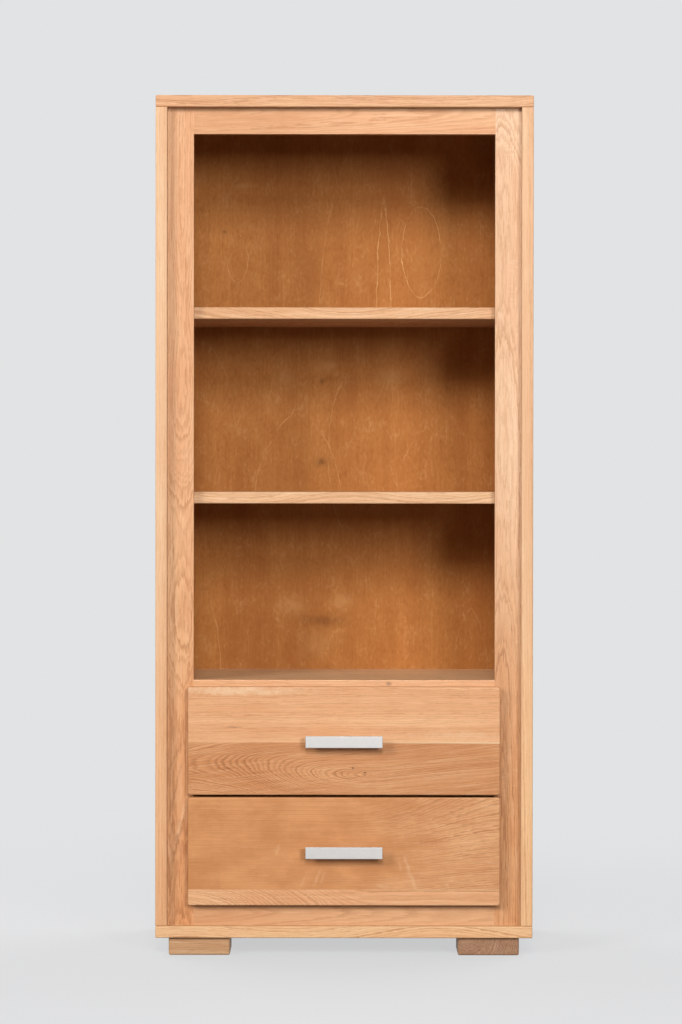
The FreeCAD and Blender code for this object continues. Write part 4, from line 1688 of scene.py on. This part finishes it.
@dataclass(frozen=True)
class Softbox:
    """A square lamp seen from the bookcase at a bearing and a height above the horizon."""

    name: str
    bearing: float
    elevation: float
    distance: float
    size: float
    power: float
    aim: tuple[float, float, float] = (0.0, 0.0, 1.2)

    def build(self) -> None:
        """Places the lamp and turns it to the bookcase."""
        light = bpy.data.lights.new(self.name, "AREA")
        light.shape = "SQUARE"
        light.size = self.size
        light.energy = self.power
        lamp = bpy.data.objects.new(self.name, light)
        turn, rise = math.radians(self.bearing), math.radians(self.elevation)
        way = Vector((math.sin(turn) * math.cos(rise), -math.cos(turn) * math.cos(rise), math.sin(rise)))
        lamp.location = Vector(self.aim) + way * self.distance
        lamp.rotation_mode = "QUATERNION"
        lamp.rotation_quaternion = (-way).to_track_quat("-Z", "Y")
        bpy.context.scene.collection.objects.link(lamp)
        LOG.info("lit %s", self.name)


@dataclass
class Studio:
    """The pale floor, the lamps, the sky and the camera."""

    paper: Colour = srgb(226, 227, 228)
    shaded_paper: Colour = srgb(50, 48, 46)
    paper_roughness: float = 0.8
    paper_glow: float = 0.74
    sky: Colour = (1.0, 0.99, 0.97, 1.0)
    ambient: float = 0.01
    floor_radius: float = 40.0
    floor_sides: int = 96
    floor_drop: float = 0.0002
    fade_span: Span = (0.9, 2.6)
    camera_place: tuple[float, float, float] = (-0.0070, -6.4604, 1.0099)
    camera_pitch: float = -0.623
    camera_roll: float = 0.064
    focal_pixels: float = 2966.8
    picture_height: int = 1024
    sensor: float = 36.0
    lamps: tuple[Softbox, ...] = (
        Softbox("right_softbox", 21.5, 9.6, 8.2, 1.8, 236.0),
        Softbox("left_softbox", -43.5, 20.2, 12.5, 4.2, 660.0),
        Softbox("front_softbox", 0.0, 25.0, 9.0, 1.9, 290.0),
        Softbox("rear_right_softbox", 128.0, 36.0, 6.0, 4.5, 190.0),
        Softbox("rear_left_softbox", -128.0, 36.0, 6.0, 4.5, 190.0))

    def lay_floor(self) -> None:
        """Lays a pale floor that fades into the sky away from the bookcase."""
        mesh = bmesh.new()
        bmesh.ops.create_circle(mesh, cap_ends=True, radius=self.floor_radius, segments=self.floor_sides)
        bmesh.ops.translate(mesh, vec=(0.0, 0.0, -self.floor_drop), verts=mesh.verts)
        data = bpy.data.meshes.new("floor")
        mesh.to_mesh(data)
        mesh.free()
        floor = bpy.data.objects.new("floor", data)
        bpy.context.scene.collection.objects.link(floor)
        material = bpy.data.materials.new("floor_paper")
        material.use_nodes = True
        graph = Graph(material.node_tree)
        shader = graph.find("BSDF_PRINCIPLED")
        seen = self.seen_rays(graph)
        graph.feed(shader.inputs["Base Color"], graph.mix(seen, self.shaded_paper, self.paper))
        graph.feed(shader.inputs["Roughness"], self.paper_roughness)
        glow = graph.node("ShaderNodeEmission")
        graph.feed(glow.inputs["Color"], self.paper)
        source = graph.node("ShaderNodeTexCoord")
        length = graph.node("ShaderNodeVectorMath", operation="LENGTH")
        graph.feed(length.inputs[0], source.outputs["Object"])
        away = Signal(graph, length.outputs["Value"]).step(*self.fade_span)
        self.mix_shaders(graph, graph.blend(away, self.paper_glow, 1.0) * seen, shader, glow)
        data.materials.append(material)
        LOG.info("laid %s", floor.name)

    @staticmethod
    def mix_shaders(graph: Graph, share: Signal, first: bpy.types.Node, second: bpy.types.Node) -> None:
        """Mixes two shaders into the output.

        Args:
            graph: The graph of the material or the world.
            share: How much of the second shader shows.
            first: The first shader.
            second: The second shader.
        """
        mixed = graph.node("ShaderNodeMixShader")
        for socket, value in zip(mixed.inputs, (share, first.outputs[0], second.outputs[0])):
            graph.feed(socket, value)
        leave = next(node for node in graph.tree.nodes if node.type.startswith("OUTPUT_"))
        graph.feed(leave.inputs["Surface"], mixed.outputs[0])

    @staticmethod
    def seen_rays(graph: Graph) -> Signal:
        """Tells the rays that show the backdrop: camera, glossy and transmission rays.

        Args:
            graph: The graph of the material or the world.

        Returns:
            1 for those rays, and 0 for the others.
        """
        path = graph.node("ShaderNodeLightPath")
        camera, glossy, through = (Signal(graph, path.outputs[f"Is {kind} Ray"])
                                   for kind in ("Camera", "Glossy", "Transmission"))
        return (camera + glossy + through).apply("MINIMUM", 1.0)

    def raise_sky(self) -> None:
        """Makes a plain sky: pale paper where it is seen, and a low light elsewhere."""
        world = bpy.data.worlds.new("studio")
        world.use_nodes = True
        bpy.context.scene.world = world
        graph = Graph(world.node_tree)
        soft = graph.find("BACKGROUND")
        graph.feed(soft.inputs["Color"], self.sky)
        graph.feed(soft.inputs["Strength"], self.ambient)
        paper = graph.node("ShaderNodeBackground")
        graph.feed(paper.inputs["Color"], self.paper)
        graph.feed(paper.inputs["Strength"], 1.0)
        self.mix_shaders(graph, self.seen_rays(graph), soft, paper)

    def set_camera(self) -> None:
        """Sets the camera at the photograph's place and angle."""
        view = bpy.data.cameras.new("camera")
        view.sensor_width = self.sensor
        view.lens = self.focal_pixels * self.sensor / self.picture_height
        camera = bpy.data.objects.new("camera", view)
        tilt = Matrix.Rotation(math.pi / 2 + math.radians(self.camera_pitch), 4, "X")
        roll = Matrix.Rotation(math.radians(self.camera_roll), 4, "Z")
        camera.matrix_world = Matrix.Translation(self.camera_place) @ tilt @ roll
        bpy.context.scene.collection.objects.link(camera)
        bpy.context.scene.camera = camera

    def build(self) -> None:
        """Builds the whole studio."""
        bpy.context.scene.view_settings.view_transform = "Standard"
        self.lay_floor()
        self.raise_sky()
        for lamp in self.lamps:
            lamp.build()
        self.set_camera()


def main() -> None:
    """Builds the studio and dresses each sub-assembly in order."""
    logging.basicConfig(level=logging.INFO, format="%(name)s: %(message)s")
    Studio().build()
    Carcass().dress()
    FaceFrame().dress()
    Feet().dress()
    BackPanel().dress()
    Drawer("upper", UPPER_FRONT, seed=70.0).dress()
    Drawer("lower", LOWER_FRONT, seed=80.0).dress()
    fasteners = Fasteners()
    fasteners.build()
    fasteners.dress()


if __name__ == "__main__":
    main()
